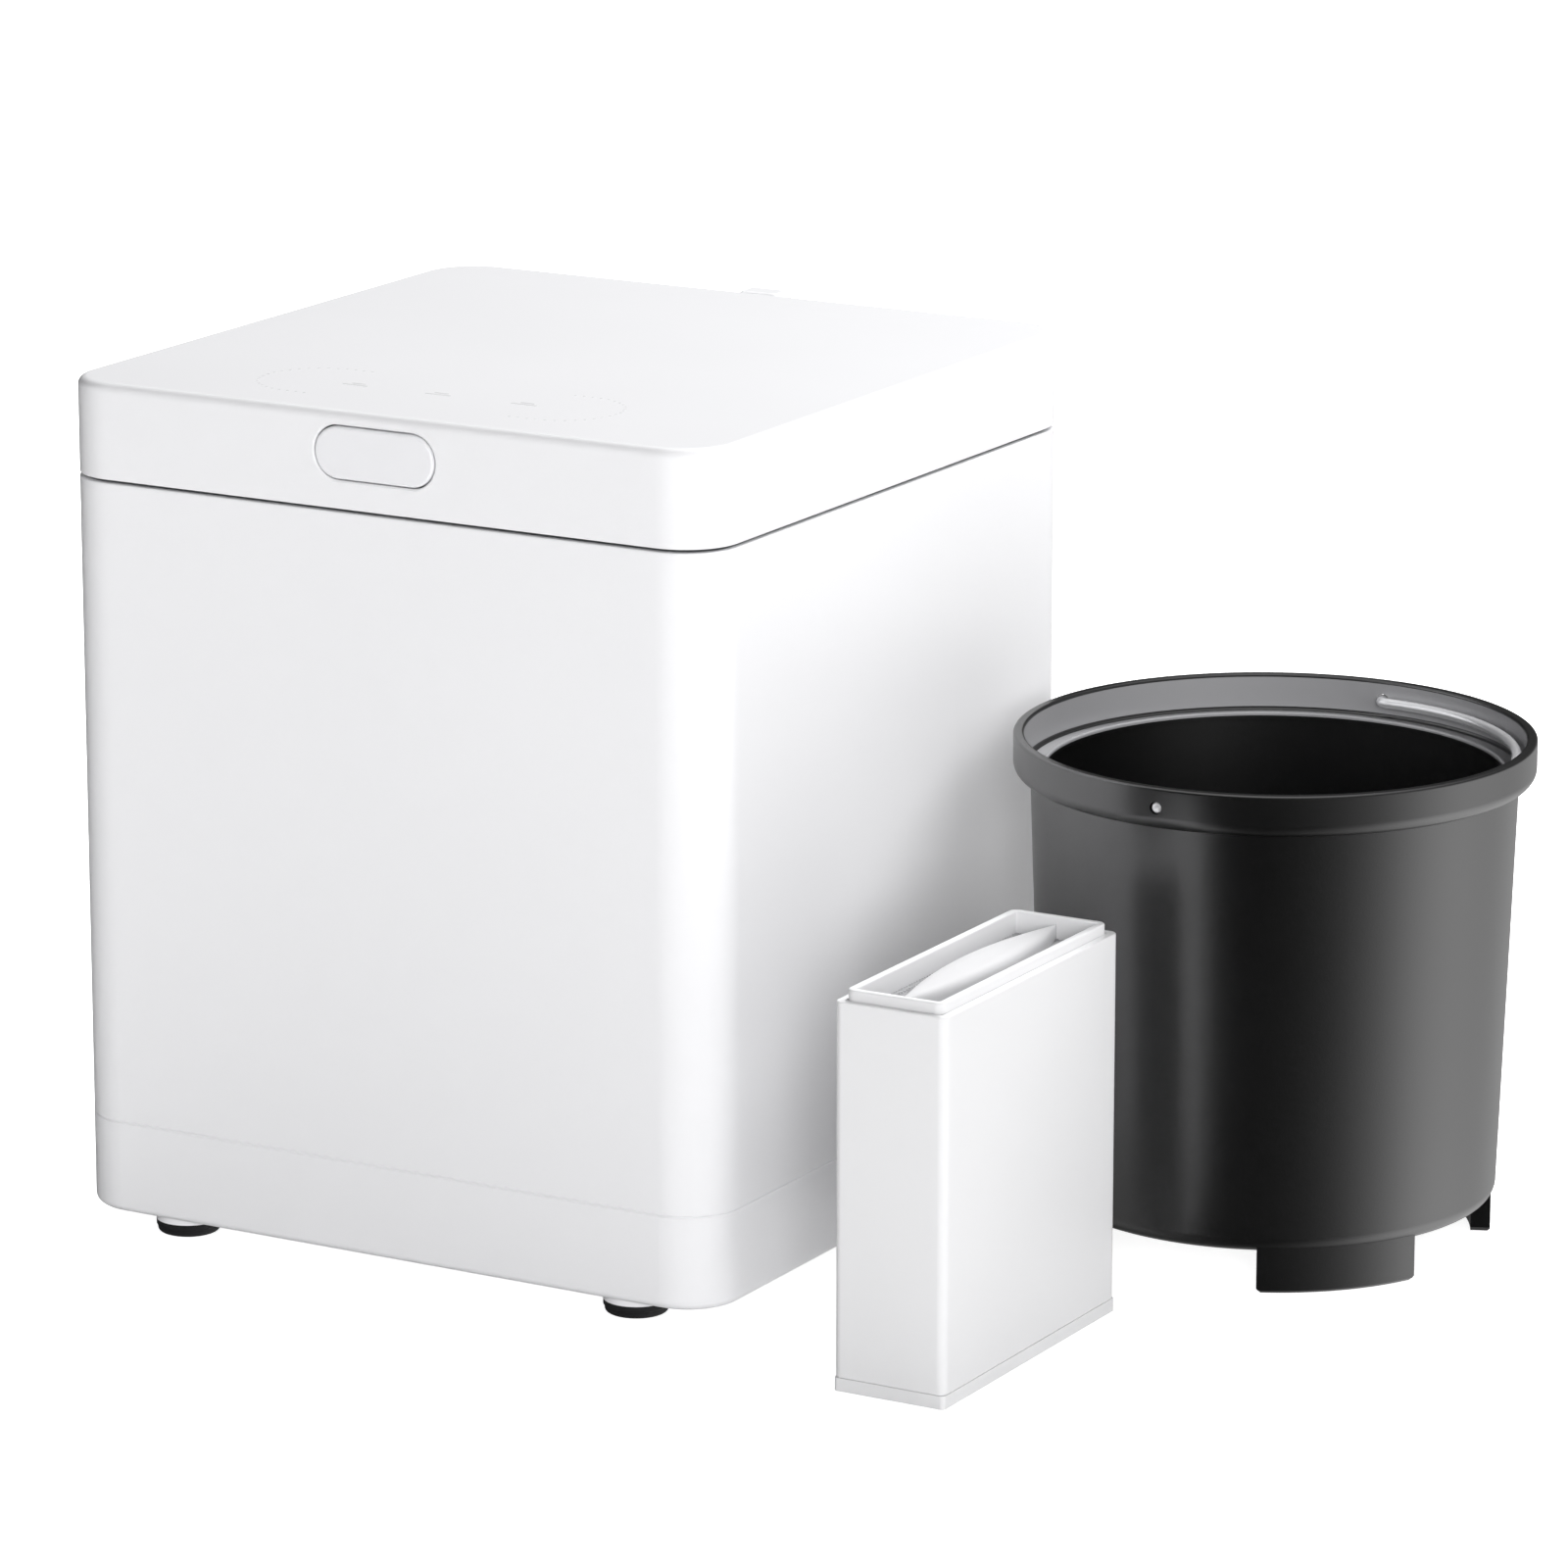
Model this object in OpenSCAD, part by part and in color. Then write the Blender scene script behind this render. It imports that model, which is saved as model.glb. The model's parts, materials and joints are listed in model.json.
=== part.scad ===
// Electric food waste composter: machine, lift-out bucket and odour filter cartridge.
// The set stands on z = 0, with its origin at the bottom centre of its bounding box.

/* [Housing] */
// Width of the machine
body_w = 280; // [272:1:300]
// Room between the filter opening and the rear wall
rear_room = 7; // [5:0.5:30]
// Radius of the upright corners
corner_r = 21.5; // [17:0.5:24]
// Moulded wall of shell, pan and lid
wall = 3; // [2.5:0.1:3.4]
// Height of the rubber feet and their bosses
foot_h = 8; // [7:0.5:12]
// Height of the base pan
base_h = 36; // [34:0.5:40]
// Height of the outer shell, from the pan to the lid line
shell_h = 247; // [245:1:256]
// Height of the lid
lid_h = 37; // [34:0.5:44]
// Open line between shell and lid
line_gap = 1.2; // [0.8:0.1:1.6]
// Rounding of the lid's top edge and the pan's bottom edge
edge_r = 3.5; // [2:0.25:5]
// Chamfer of the edges along the lid line and the base seam
line_edge = 0.7; // [0.3:0.1:1]

/* [Bucket] */
// Outer radius of the bucket collar
rim_r = 98; // [96:0.5:99]
// Height of the collar
collar_h = 16; // [14:0.5:20]
// Height of the bucket over its lugs
bucket_h = 193; // [188:1:196]
// Step from the collar in to the pot
collar_step = 6.5; // [5.5:0.25:7.5]
// How much the pot narrows towards its foot
pot_taper = 5.4; // [3.5:0.1:6.5]
// Wall of the pot
pot_wall = 2; // [1.5:0.1:2.4]
// Height of the lugs that the bucket stands on
lug_h = 15.6; // [15:0.1:17]
// How far the lugs stand in from the foot of the pot
lug_in = 1.6; // [1:0.1:3]
// Diameter of the carrying wire
wire_d = 4; // [3:0.25:4.5]

/* [Filter] */
// Thickness of the cartridge
filter_w = 45; // [43:0.5:46]
// Length of the cartridge
filter_len = 131; // [120:1:132]
// Height of the cartridge case
case_h = 144; // [138:1:145]
// Height that the top frame stands proud
frame_proud = 4; // [3:0.5:5]

/* [Button] */
// Length of the lid button
button_w = 51; // [46:1:56]
// Height of the lid button
button_h = 19.5; // [17:0.5:21]
// Travel of the lid button
button_travel = 3; // [2.5:0.1:3]

/* [Drive] */
// Module of the first gear pair
module_1 = 1; // [0.95:0.01:1]
// Module of the second gear pair
module_2 = 1.25; // [1.2:0.01:1.25]
// Teeth of the two pinions
pinion_teeth = 12; // [12:1:12]
// Teeth of the idler wheel
wheel_teeth = 48; // [48:4:48]
// Teeth of the drive gear
drive_teeth = 60; // [60:4:60]
// Radius of the drive and agitator shafts
shaft_r = 6; // [5.5:0.25:6.5]
// Side of the square fan frame
fan_size = 60; // [56:1:60]
// Depth of the fan frame
fan_depth = 15; // [13:0.5:15]
// Blades of the fan
fan_blades = 7; // [5:1:9]

/* [Layout] */
// Gap between the machine and the bucket
bucket_gap = 16; // [5:1:60]
// Bucket centre behind the machine centre
bucket_back = 86; // [0:1:120]
// Gap between the machine and the cartridge
filter_gap = 66.5; // [10:0.5:100]
// Cartridge front ahead of the machine front
filter_ahead = 27; // [0:1:60]

/* [Fits] */
// Radial clearance of turning and sliding parts
run_gap = 0.06; // [0.04:0.01:0.08]
// Clearance between moulded parts
mould_gap = 0.4; // [0.3:0.05:0.5]
// Radial clearance of the bucket in its well
well_gap = 1.5; // [1:0.1:2]
// Backlash of the gear teeth
backlash = 0.16; // [0.1:0.02:0.2]

/* [Hidden] */
$fn = 64;

white = [0.93, 0.93, 0.94];
grey = [0.55, 0.56, 0.58];
dark = [0.16, 0.16, 0.17];
steel = [0.75, 0.76, 0.78];

pot_top_r = rim_r - collar_step;
pot_low_r = pot_top_r - pot_taper;
lug_r = pot_low_r - lug_in;

// Depth of the machine: wall, latch strip, well, filter bay, room and wall
well_r = rim_r + well_gap;
skirt_t = 2;
front_strip = 14.5;
bay_gap = 1;
bay_t = 1.6;
bay_w = filter_len + 2 * bay_gap + 1;
bay_d = filter_w + 2 * bay_gap;
bay_back = 2.5;
body_d = 2 * wall + front_strip + 2 * well_r + skirt_t + bay_back + bay_d + rear_room;

// Heights of the machine
pan_z = foot_h;
shell_z = pan_z + base_h;
line_z = shell_z + shell_h;
top_z = line_z + lid_h;
shell_top = line_z - line_gap / 2;
lid_z = line_z + line_gap / 2;
deck_t = 3;
deck_top = line_z - 1;
deck_z = deck_top - deck_t;

// The well that takes the bucket
well_y = -body_d / 2 + wall + front_strip + well_r;
seat_z = line_z - 2 - collar_h;
bucket_lift = seat_z - (bucket_h - collar_h);
seat_t = 2;
seat_r = pot_top_r + 2;
liner_r = seat_r + 1.5;
liner_t = 1.5;
liner_top = seat_z - seat_t;
liner_z = bucket_lift - 0.5 - liner_t;
liner_floor = liner_z + liner_t;

// Lugs and heater
lug_t = 7.5;
lug_gap = 47;
foot_round = 6;
heater_r = lug_r - lug_t - 5;
heater_top = bucket_lift + lug_h - 0.8;
heater_t = 6.8;
heater_bore = 20;
skirt_w = 3;

// The bay that takes the filter cartridge, turned a quarter
bay_y = well_y + well_r + skirt_t + bay_back + bay_d / 2;
bay_floor = deck_top - 1 - case_h - frame_proud;

// Gear train, hung under the liner with room for the heater's leads
lead_room = 12;
plate_t = 3;
gear_1_t = 6;
gear_2_t = 7.8;
cover_t = 2;
cover_z = liner_z - lead_room - cover_t;
gear_2_z = cover_z - 1 - gear_2_t;
gear_1_z = gear_2_z - 1 - gear_1_t;
plate_z = gear_1_z - 1.2 - plate_t;
step_1 = module_1 * (pinion_teeth + wheel_teeth) / 2;
step_2 = module_2 * (pinion_teeth + drive_teeth) / 2;
idler_at = [-step_2, well_y];
motor_at = [-step_2, well_y + step_1];
drive_tip = module_2 * (drive_teeth / 2 + 1);
wheel_tip = module_1 * (wheel_teeth / 2 + 1);
pinion_tip = module_1 * (pinion_teeth / 2 + 1);
idler_r = 3;
motor_r = 22;
motor_z = pan_z + wall + 3;
motor_bore = motor_r - 6.8;
motor_end = 6;
rotor_r = 2.5;
bush_t = 4;
// Gearbox screws as [centre of their lobe, radius, angle]
gearbox_posts = [for (p = [[[0, well_y], drive_tip + 7, 60], [[0, well_y], drive_tip + 7, -60],
    [idler_at, wheel_tip + 7, 195], [idler_at, wheel_tip + 7, 255]])
    p[0] + p[1] * [cos(p[2]), sin(p[2])]];

// Fan behind the rear wall, under the filter bay
duct_half = fan_size / 2 + 4;
fan_z = bay_floor - 7 - duct_half;
fan_bore = fan_size / 2 - 1.7;
fan_pitch = fan_size * 25 / 30;
flange_t = 1.2;
fan_back = body_d / 2 - wall - flange_t;
fan_front = fan_back - fan_depth;
hub_r = 13;
grille_r = fan_bore;
pin_r = 1.5;

// Power inlet in the rear of the pan
inlet_x = 55 - body_w / 2;
inlet_z = pan_z + 18;
inlet_w = 27;
inlet_h = 19.5;
inlet_depth = 23;

// Lid, hinge and latch
hinge_y = body_d / 2 + 6;
hinge_z = line_z;
knuckle_r = 5.5;
pin_d = 4;
hump_w = 19;
bracket_w = 52;
liner_plate_z = line_z + 1;
liner_plate_t = 2.5;
button_lip = 2;
button_z = top_z - wall - 0.75 - button_lip - button_h / 2;
button_proud = 0.4;
touch_w = 156;
touch_d = 42;
touch_y = 45 - body_d / 2;
cap_t = 5.4;
front_y = -body_d / 2;
hook_y = front_y + 7;
hook_t = 2.5;
hook_w = 16;
nose_z = deck_z - 0.3;
nose_h = 3;
slot_front = front_y + wall + 3;
slot_back = slot_front + 7;
nose_tip = slot_front - 2;
guide_y = front_y + 18;
guide_t = 2.5;
guide_r = 3;

// Bucket heights
collar_z = bucket_h - collar_h;
ledge_t = 2;
rim_wall = 4;
ledge_r = rim_r - rim_wall - 8;
bail_r = rim_r - rim_wall - wire_d / 2 - 2;
bail_z = collar_z + ledge_t + 6.5;
agitator_z = lug_h + pot_wall + 2.4;
dog_roof = lug_h - 7.3;
blade_h = 12;
hub_h = 39;
bar_z = agitator_z + blade_h + 3.5;
bar_h = 6;

// Filter cartridge
filter_wall = 1.6;
filter_r = 1.8;
cap_h = 5;
frame_in = 3;
frame_t = 2.8;
filter_h = case_h + frame_proud;
mesh_z = filter_h - 9.5;
mesh_t = 1.4;
grip_w = 17.5;
grip_len = filter_len - 2 * frame_in - 2 * frame_t - mould_gap;

// Places of the three items in the set
set_x0 = -body_w / 2;
set_x1 = body_w / 2 + bucket_gap + 2 * rim_r;
set_y0 = min(front_y - filter_ahead, bucket_back - rim_r);
set_y1 = max(bucket_back + rim_r, hinge_y + knuckle_r);
machine_at = [-(set_x0 + set_x1) / 2, -(set_y0 + set_y1) / 2, 0];
bucket_at = machine_at + [body_w / 2 + bucket_gap + rim_r, bucket_back, 0];
filter_at = machine_at + [body_w / 2 + filter_gap + filter_w / 2,
    front_y - filter_ahead + filter_len / 2, 0];

foot_x = body_w / 2 - 41;
foot_y = body_d / 2 - 17;
foot_r = 12.4;
rubber_h = foot_h - 3;
post_x = body_w / 2 - wall - 4;
post_y = body_d / 2 - 44;
board_x0 = drive_tip + 14;
board_w = body_w / 2 - wall - 5 - board_x0;
board_d = 122;
board_at = [board_x0 + board_w / 2, -10];
board_lift = 11;
lid_post_x = body_w / 2 - 22;
lid_post_y = body_d / 2 - 27;

// Points of an arc about c from angle a0 to a1
function arc(c, r, a0, a1, n = 6) = [for (i = [0:n]) let (a = a0 + (a1 - a0) * i / n)
    c + r * [cos(a), sin(a)]];

// Involute function in degrees
function inv(a) = tan(a) * 180 / PI - a;

// Outline of a spur gear with 20 degree involute flanks and a tooth on the +X axis
function gear_points(m, z, thin, flank = 3) =
    let (rp = m * z / 2, rb = rp * cos(20), ra = rp + m, rf = rp - 1.25 * m,
        half = 90 / z + inv(20) - thin / rp * 90 / PI,
        side = concat([[rf, half]], [for (i = [0:flank])
            let (r = max(rb, rf) + (ra - max(rb, rf)) * i / flank, a = acos(min(1, rb / r)))
            [r, half - inv(a)]]))
    [for (k = [0:z - 1], p = concat([for (q = side) [q[0], -q[1]]],
        [for (i = [len(side) - 1:-1:0]) side[i]]))
        p[0] * [cos(360 * k / z + p[1]), sin(360 * k / z + p[1])]];

module gear(m, z, h, bore, turn = 0) {
    linear_extrude(h) difference() {
        rotate(turn) polygon(gear_points(m, z, backlash / 2));
        circle(bore);
    }
}

module rounded(w, d, r) {
    square([w - 2 * r, d], center = true);
    square([w, d - 2 * r], center = true);
    for (x = [-1, 1], y = [-1, 1]) translate([x * (w / 2 - r), y * (d / 2 - r)]) circle(r);
}

module slab(w, d, h, r, z = 0) {
    translate([0, 0, z]) linear_extrude(h) rounded(w, d, r);
}

module ring(r_out, r_in, h, z = 0) {
    translate([0, 0, z]) difference() {
        cylinder(h = h, r = r_out);
        translate([0, 0, -1]) cylinder(h = h + 2, r = r_in);
    }
}

module tube(w, d, h, r, t, z = 0) {
    difference() {
        slab(w, d, h, r, z);
        slab(w - 2 * t, d - 2 * t, h + 2, max(r - t, 0.3), z - 1);
    }
}

module bar_x(r, length) {
    rotate([0, 90, 0]) cylinder(h = length, r = r, center = true);
}

module bar_y(r, length) {
    rotate([-90, 0, 0]) cylinder(h = length, r = r);
}

// Stadium plate standing in the XZ plane, growing towards +Y
module stadium(w, h, t) {
    rotate([90, 0, 0]) translate([0, 0, -t]) linear_extrude(t) {
        square([w - h, h], center = true);
        for (x = [-1, 1]) translate([x * (w - h) / 2, 0]) circle(h / 2);
    }
}

// Block with rounded upright corners, a rounded top edge and a chamfered bottom edge
module soft_block(w, d, h, r, f, c = 0.6) {
    edge = concat([[0, 0], [r - c, 0], [r, c]], arc([r - f, h - f], f, 0, 90), [[0, h]]);
    across = concat([[-d / 2, c], [c - d / 2, 0], [d / 2 - c, 0], [d / 2, c]],
        arc([d / 2 - f, h - f], f, 0, 90), arc([f - d / 2, h - f], f, 90, 180));
    translate([r - w / 2, 0, 0]) rotate([90, 0, 90]) linear_extrude(w - 2 * r) polygon(across);
    for (turn = [0, 180]) rotate(turn) {
        translate([w / 2 - r, d / 2 - r, 0]) {
            rotate([90, 0, 0]) linear_extrude(d - 2 * r) polygon(edge);
            rotate_extrude(angle = 90) polygon(edge);
        }
        translate([r - w / 2, d / 2 - r, 0]) rotate(90) rotate_extrude(angle = 90) polygon(edge);
    }
}

// Screw pointing up or down from its head, with a socket in the head
module screw(r, length, head_r, head_h) {
    difference() {
        cylinder(h = head_h, r = head_r);
        translate([0, 0, -1]) cylinder(h = head_h * 0.6 + 1, r = head_r * 0.5, $fn = 6);
    }
    translate([0, 0, head_h]) cylinder(h = length, r = r);
}

module at_posts() {
    for (x = [-1, 1], y = [-1, 1]) translate([x * post_x, y * post_y, 0]) children();
}

module at_board_posts() {
    for (x = [-1, 1], y = [-1, 1])
        translate([board_at[0] + x * (board_w / 2 - 6), board_at[1] + y * (board_d / 2 - 6), 0])
            children();
}

module at_lid_posts() {
    for (x = [-1, 1], y = [-1, 1]) translate([x * lid_post_x, y * lid_post_y, 0]) children();
}

module machine() { translate(machine_at) children(); }
module on_well() { machine() translate([0, well_y, 0]) children(); }
module bucket() { translate(bucket_at) children(); }
module filter() { translate(filter_at) children(); }

// Base and feet

module base_pan() color(white) machine() {
    difference() {
        union() {
            translate([0, 0, pan_z + base_h]) mirror([0, 0, 1])
                soft_block(body_w, body_d, base_h, corner_r, edge_r, line_edge);
            for (x = [-1, 1], y = [-1, 1])
                translate([x * foot_x, y * foot_y, rubber_h]) cylinder(h = 4, r = foot_r);
        }
        slab(body_w - 2 * wall, body_d - 2 * wall, base_h, corner_r - wall, pan_z + wall);
        for (x = [-1, 1], y = [-1, 1]) translate([x * foot_x, y * foot_y, 0])
            cylinder(h = 4 * foot_h, r = 2.1);
        at_posts() translate([0, 0, -1]) cylinder(h = shell_z - 5, r = 4);
        for (x = [-2:2], side = [-1, 1]) translate([x * 14 + side * 45 - 3, 50, 0])
            cube([6, 44, 3 * foot_h]);
        translate([inlet_x - inlet_w / 2 - mould_gap / 2, body_d / 2 - wall - 1,
            inlet_z - inlet_h / 2 - mould_gap / 2])
            cube([inlet_w + mould_gap, wall + 2, inlet_h + mould_gap]);
    }
    at_posts() {
        ring(6, 4, shell_z - 6 - pan_z - wall, pan_z + wall);
        ring(6, 2.1, 6, shell_z - 6);
    }
}

// Posts of the pan under the gearbox and the main board
module base_posts() color(white) machine() {
    for (p = gearbox_posts) translate(p) ring(5, 2, plate_z - pan_z - wall, pan_z + wall);
    at_board_posts() translate([0, 0, pan_z + wall]) difference() {
        cylinder(h = board_lift, r = 3);
        translate([0, 0, 2]) cylinder(h = board_lift, r = 1.2);
    }
}

module foot(x, y) color(dark) machine() translate([x * foot_x, y * foot_y, 0]) difference() {
    rotate_extrude() polygon(concat([[0, 0], [foot_r - 2.5, 0]],
        arc([foot_r - 2.5, 2], 2, -90, 0, 4), [[foot_r, rubber_h], [0, rubber_h]]));
    translate([0, 0, -1]) cylinder(h = rubber_h, r = 5);
    cylinder(h = rubber_h + 1, r = 2.1);
}
module foot_front_left() foot(-1, -1);
module foot_front_right() foot(1, -1);
module foot_back_left() foot(-1, 1);
module foot_back_right() foot(1, 1);

module foot_screws() color(steel) machine() {
    for (x = [-1, 1], y = [-1, 1]) translate([x * foot_x, y * foot_y, rubber_h - 3.5])
        screw(2, 12, 4, 2.4);
}

// Outer shell and deck

module outer_shell() color(white) machine() {
    difference() {
        translate([0, 0, shell_top]) mirror([0, 0, 1])
            soft_block(body_w, body_d, shell_top - shell_z, corner_r, 0.2, line_edge);
        slab(body_w - 2 * wall, body_d - 2 * wall, shell_h + 2, corner_r - wall, shell_z - 1);
        translate([0, body_d / 2 - wall - 1, fan_z]) {
            bar_y(grille_r + mould_gap / 2, wall + 2);
            for (x = [-1, 1], z = [-1, 1]) translate([x, 0, z] * fan_pitch / 2)
                bar_y(2.1, wall + 2);
        }
        for (x = [-1, 1]) translate([x * 20, body_d / 2 - wall - 1, line_z - 15])
            bar_y(1.55, wall + 2);
    }
    at_posts() ring(5.5, 2, deck_z - shell_z, shell_z);
    for (x = [-1, 1], z = [-1, 1]) translate([x * fan_pitch / 2, fan_back, fan_z + z * fan_pitch / 2])
        difference() {
            bar_y(4, flange_t);
            translate([0, -1, 0]) bar_y(2.1, flange_t + 2);
        }
}

module deck() color(grey) machine() {
    difference() {
        slab(body_w - 2 * wall - mould_gap, body_d - 2 * wall - mould_gap, deck_t,
            corner_r - wall - mould_gap / 2, deck_z);
        translate([0, well_y, deck_z - 1]) cylinder(h = deck_t + 2, r = well_r);
        translate([-bay_w / 2, bay_y - bay_d / 2, deck_z - 1]) cube([bay_w, bay_d, deck_t + 2]);
        translate([-hook_w / 2 - 1.5, slot_front, deck_z - 1])
            cube([hook_w + 3, slot_back - slot_front, deck_t + 2]);
        at_posts() translate([0, 0, deck_z - 1]) cylinder(h = deck_t + 2, r = 1.7);
        for (x = [-1, 1], y = [-1, 1])
            translate([x * (bay_w / 2 + bay_t + 4), bay_y + y * 14, deck_z - 1])
                cylinder(h = deck_t, r = 1.2);
    }
    translate([0, well_y, 0]) {
        ring(well_r + skirt_t, well_r, deck_z - seat_z, seat_z);
        ring(well_r + skirt_t, seat_r, seat_t, seat_z - seat_t);
    }
}

module deck_screws() color(steel) machine() {
    at_posts() {
        translate([0, 0, deck_top - 14]) cylinder(h = 14, r = 1.6);
        translate([0, 0, deck_top]) cylinder(h = 0.9, r = 2.8);
    }
}

// Well, heater and insulation

module well_liner() color(steel) on_well() difference() {
    union() {
        translate([0, 0, liner_z]) cylinder(h = liner_top - liner_z, r = liner_r + liner_t);
        translate([0, 0, liner_top - liner_t]) cylinder(h = liner_t, r = well_r + skirt_t);
    }
    translate([0, 0, liner_floor]) cylinder(h = liner_top, r = liner_r);
    translate([0, 0, liner_z - 1]) cylinder(h = 5, r = shaft_r + 1.5);
    for (a = [-20, 20]) rotate(a) translate([50, 0, liner_z - 1]) cylinder(h = 5, r = 2.4);
}

module heater_plate() color(steel) on_well() rotate_extrude() {
    low = heater_top - heater_t;
    polygon(concat([[heater_bore, liner_floor], [heater_bore, heater_top]],
        arc([heater_r - 2, heater_top - 2], 2, 90, 0, 4), [[heater_r, liner_floor],
        [heater_r - skirt_w, liner_floor], [heater_r - skirt_w, low], [heater_bore + skirt_w, low],
        [heater_bore + skirt_w, liner_floor]]));
}

module heating_element() color(dark) on_well() {
    rotate(20) rotate_extrude(angle = 320) translate([50, liner_floor + 4.2]) circle(3.8, $fn = 32);
    for (a = [-20, 20]) rotate(a) translate([50, 0, liner_z - 8])
        cylinder(h = liner_floor + 4.2 - liner_z + 8, r = 2);
}

module temperature_sensor() color(grey) on_well() rotate(90) translate([60, 0, liner_z - 7]) {
    cylinder(h = 7, r = 4);
    translate([-9, -3, 5]) cube([18, 6, 2]);
}

module insulation_sleeve() color([0.85, 0.82, 0.7]) on_well()
    ring(well_r + skirt_t, liner_r + liner_t + 0.5, liner_top - liner_z - 20, liner_z + 12);

// Gearbox

module train_outline(grow) {
    translate([0, well_y]) circle(drive_tip + grow);
    translate(idler_at) circle(wheel_tip + grow);
    translate(motor_at) circle(pinion_tip + grow);
}

module gear_plate() color(steel) machine() difference() {
    union() {
        translate([0, 0, plate_z]) linear_extrude(plate_t) {
            train_outline(12);
            translate(motor_at) circle(motor_r + 2);
        }
        translate([0, well_y, plate_z - bush_t]) cylinder(h = bush_t, r = shaft_r + 5);
    }
    translate([0, well_y, plate_z - bush_t - 1]) cylinder(h = 20, r = shaft_r + run_gap);
    translate([idler_at[0], idler_at[1], plate_z - 1]) cylinder(h = 9, r = idler_r);
    translate([motor_at[0], motor_at[1], plate_z - 1]) cylinder(h = 9, r = 6);
    for (p = gearbox_posts) translate([p[0], p[1], plate_z - 1]) cylinder(h = 9, r = 2.1);
}

module gearbox_cover() color(grey) machine() difference() {
    base = plate_z + plate_t;
    union() {
        translate([0, 0, base]) linear_extrude(cover_t) train_outline(12);
        translate([0, 0, base]) linear_extrude(cover_z + cover_t - base) train_outline(4);
    }
    translate([0, 0, base - 1]) linear_extrude(cover_z - base + 1) train_outline(2);
    translate([0, well_y, base]) cylinder(h = 60, r = shaft_r + 4);
    translate([idler_at[0], idler_at[1], base]) cylinder(h = 60, r = idler_r);
    for (p = gearbox_posts) translate([p[0], p[1], base - 1]) cylinder(h = cover_t + 2, r = 2.1);
}

module gearbox_screws() color(steel) machine() {
    for (p = gearbox_posts) translate([p[0], p[1], plate_z + plate_t + cover_t + 2.4])
        mirror([0, 0, 1]) screw(1.9, 18, 2.8, 2.4);
}

module drive_bush() color([0.7, 0.55, 0.25]) on_well() difference() {
    union() {
        ring(shaft_r + 4, shaft_r + run_gap, 9, cover_z);
        ring(shaft_r + 7, shaft_r + run_gap, 2, cover_z + cover_t);
    }
}

module idler_pin() color(steel) machine() translate([idler_at[0], idler_at[1], plate_z])
    cylinder(h = cover_z + cover_t - plate_z, r = idler_r);

module motor_case() color(dark) machine() translate([motor_at[0], motor_at[1], 0]) difference() {
    union() {
        translate([0, 0, motor_z]) cylinder(h = plate_z - motor_z, r = motor_r);
        translate([0, 0, pan_z + wall]) cylinder(h = motor_z - pan_z - wall, r = 10);
        translate([0, 0, plate_z]) cylinder(h = plate_t, r = 5.9);
    }
    translate([0, 0, motor_z + 2]) cylinder(h = plate_z, r = rotor_r + run_gap);
    translate([0, 0, motor_z + motor_end])
        cylinder(h = plate_z - motor_z - 2 * motor_end, r = motor_bore);
    for (a = [0:90:270], z = [motor_z + motor_end, plate_z - motor_end - 4])
        rotate(a) translate([motor_bore - 2, -5, z]) cube([10, 10, 4]);
    for (a = [0:30:330]) rotate(a + 15) translate([motor_r, 0, motor_z + 8])
        cylinder(h = plate_z - motor_z - 16, r = 1.5);
}

module motor_rotor() color(steel) machine() translate([motor_at[0], motor_at[1], 0]) {
    low = motor_z + 2.3;
    stack = motor_z + motor_end + 3;
    translate([0, 0, low]) cylinder(h = gear_1_z + gear_1_t - low, r = rotor_r);
    translate([0, 0, stack]) cylinder(h = plate_z + motor_z - 2 * stack, r = motor_bore - 0.7);
    translate([0, 0, gear_1_z]) gear(module_1, pinion_teeth, gear_1_t, rotor_r, 30);
}

module idler_gear() color(steel) machine() translate([idler_at[0], idler_at[1], 0]) {
    bore = idler_r + run_gap;
    translate([0, 0, gear_1_z]) gear(module_1, wheel_teeth, gear_1_t, bore, 180 / wheel_teeth);
    translate([0, 0, gear_1_z + gear_1_t])
        gear(module_2, pinion_teeth, gear_2_z + gear_2_t - gear_1_z - gear_1_t, bore);
    ring(6, bore, gear_1_z - plate_z - plate_t - 0.3, plate_z + plate_t + 0.3);
}

module drive_gear() color(steel) on_well() {
    difference() {
        translate([0, 0, gear_2_z])
            gear(module_2, drive_teeth, gear_2_t, shaft_r, 180 / drive_teeth);
        for (a = [0:60:300]) rotate(a) translate([22, 0, gear_2_z - 1])
            cylinder(h = gear_2_t + 2, r = 7);
    }
    ring(12, shaft_r, gear_2_z - plate_z - plate_t - 0.3, plate_z + plate_t + 0.3);
}

module drive_shaft() color(steel) on_well() {
    low = plate_z - bush_t + 0.5;
    translate([0, 0, low]) cylinder(h = liner_floor + 0.5 - low, r = shaft_r);
    translate([0, 0, liner_floor + 0.5]) cylinder(h = 2.5, r = shaft_r + 6);
    for (a = [0, 90]) rotate(a) translate([-shaft_r - 4, -2, liner_floor + 3])
        cube([2 * shaft_r + 8, 4, bucket_lift + dog_roof - 1 - liner_floor - 3]);
}

// Electronics

module main_board() color([0.1, 0.4, 0.2]) machine() {
    difference() {
        translate([board_x0, board_at[1] - board_d / 2, pan_z + wall + board_lift])
            cube([board_w, board_d, 1.6]);
        at_board_posts() cylinder(h = 2 * shell_z, r = 1.6);
    }
    translate([board_at[0], board_at[1], pan_z + wall + board_lift]) board_parts();
}

module board_parts() {
    translate([-30, -45, 1.6]) cube([30, 28, 20]);
    translate([10, -40, 1.6]) cylinder(h = 22, r = 8);
    translate([28, -42, 1.6]) cylinder(h = 16, r = 6);
    translate([-28, 5, 1.6]) cube([8, 40, 18]);
    for (i = [0:3]) translate([8, 0 + i * 13, 1.6]) cube([16, 9, 11]);
}

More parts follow.
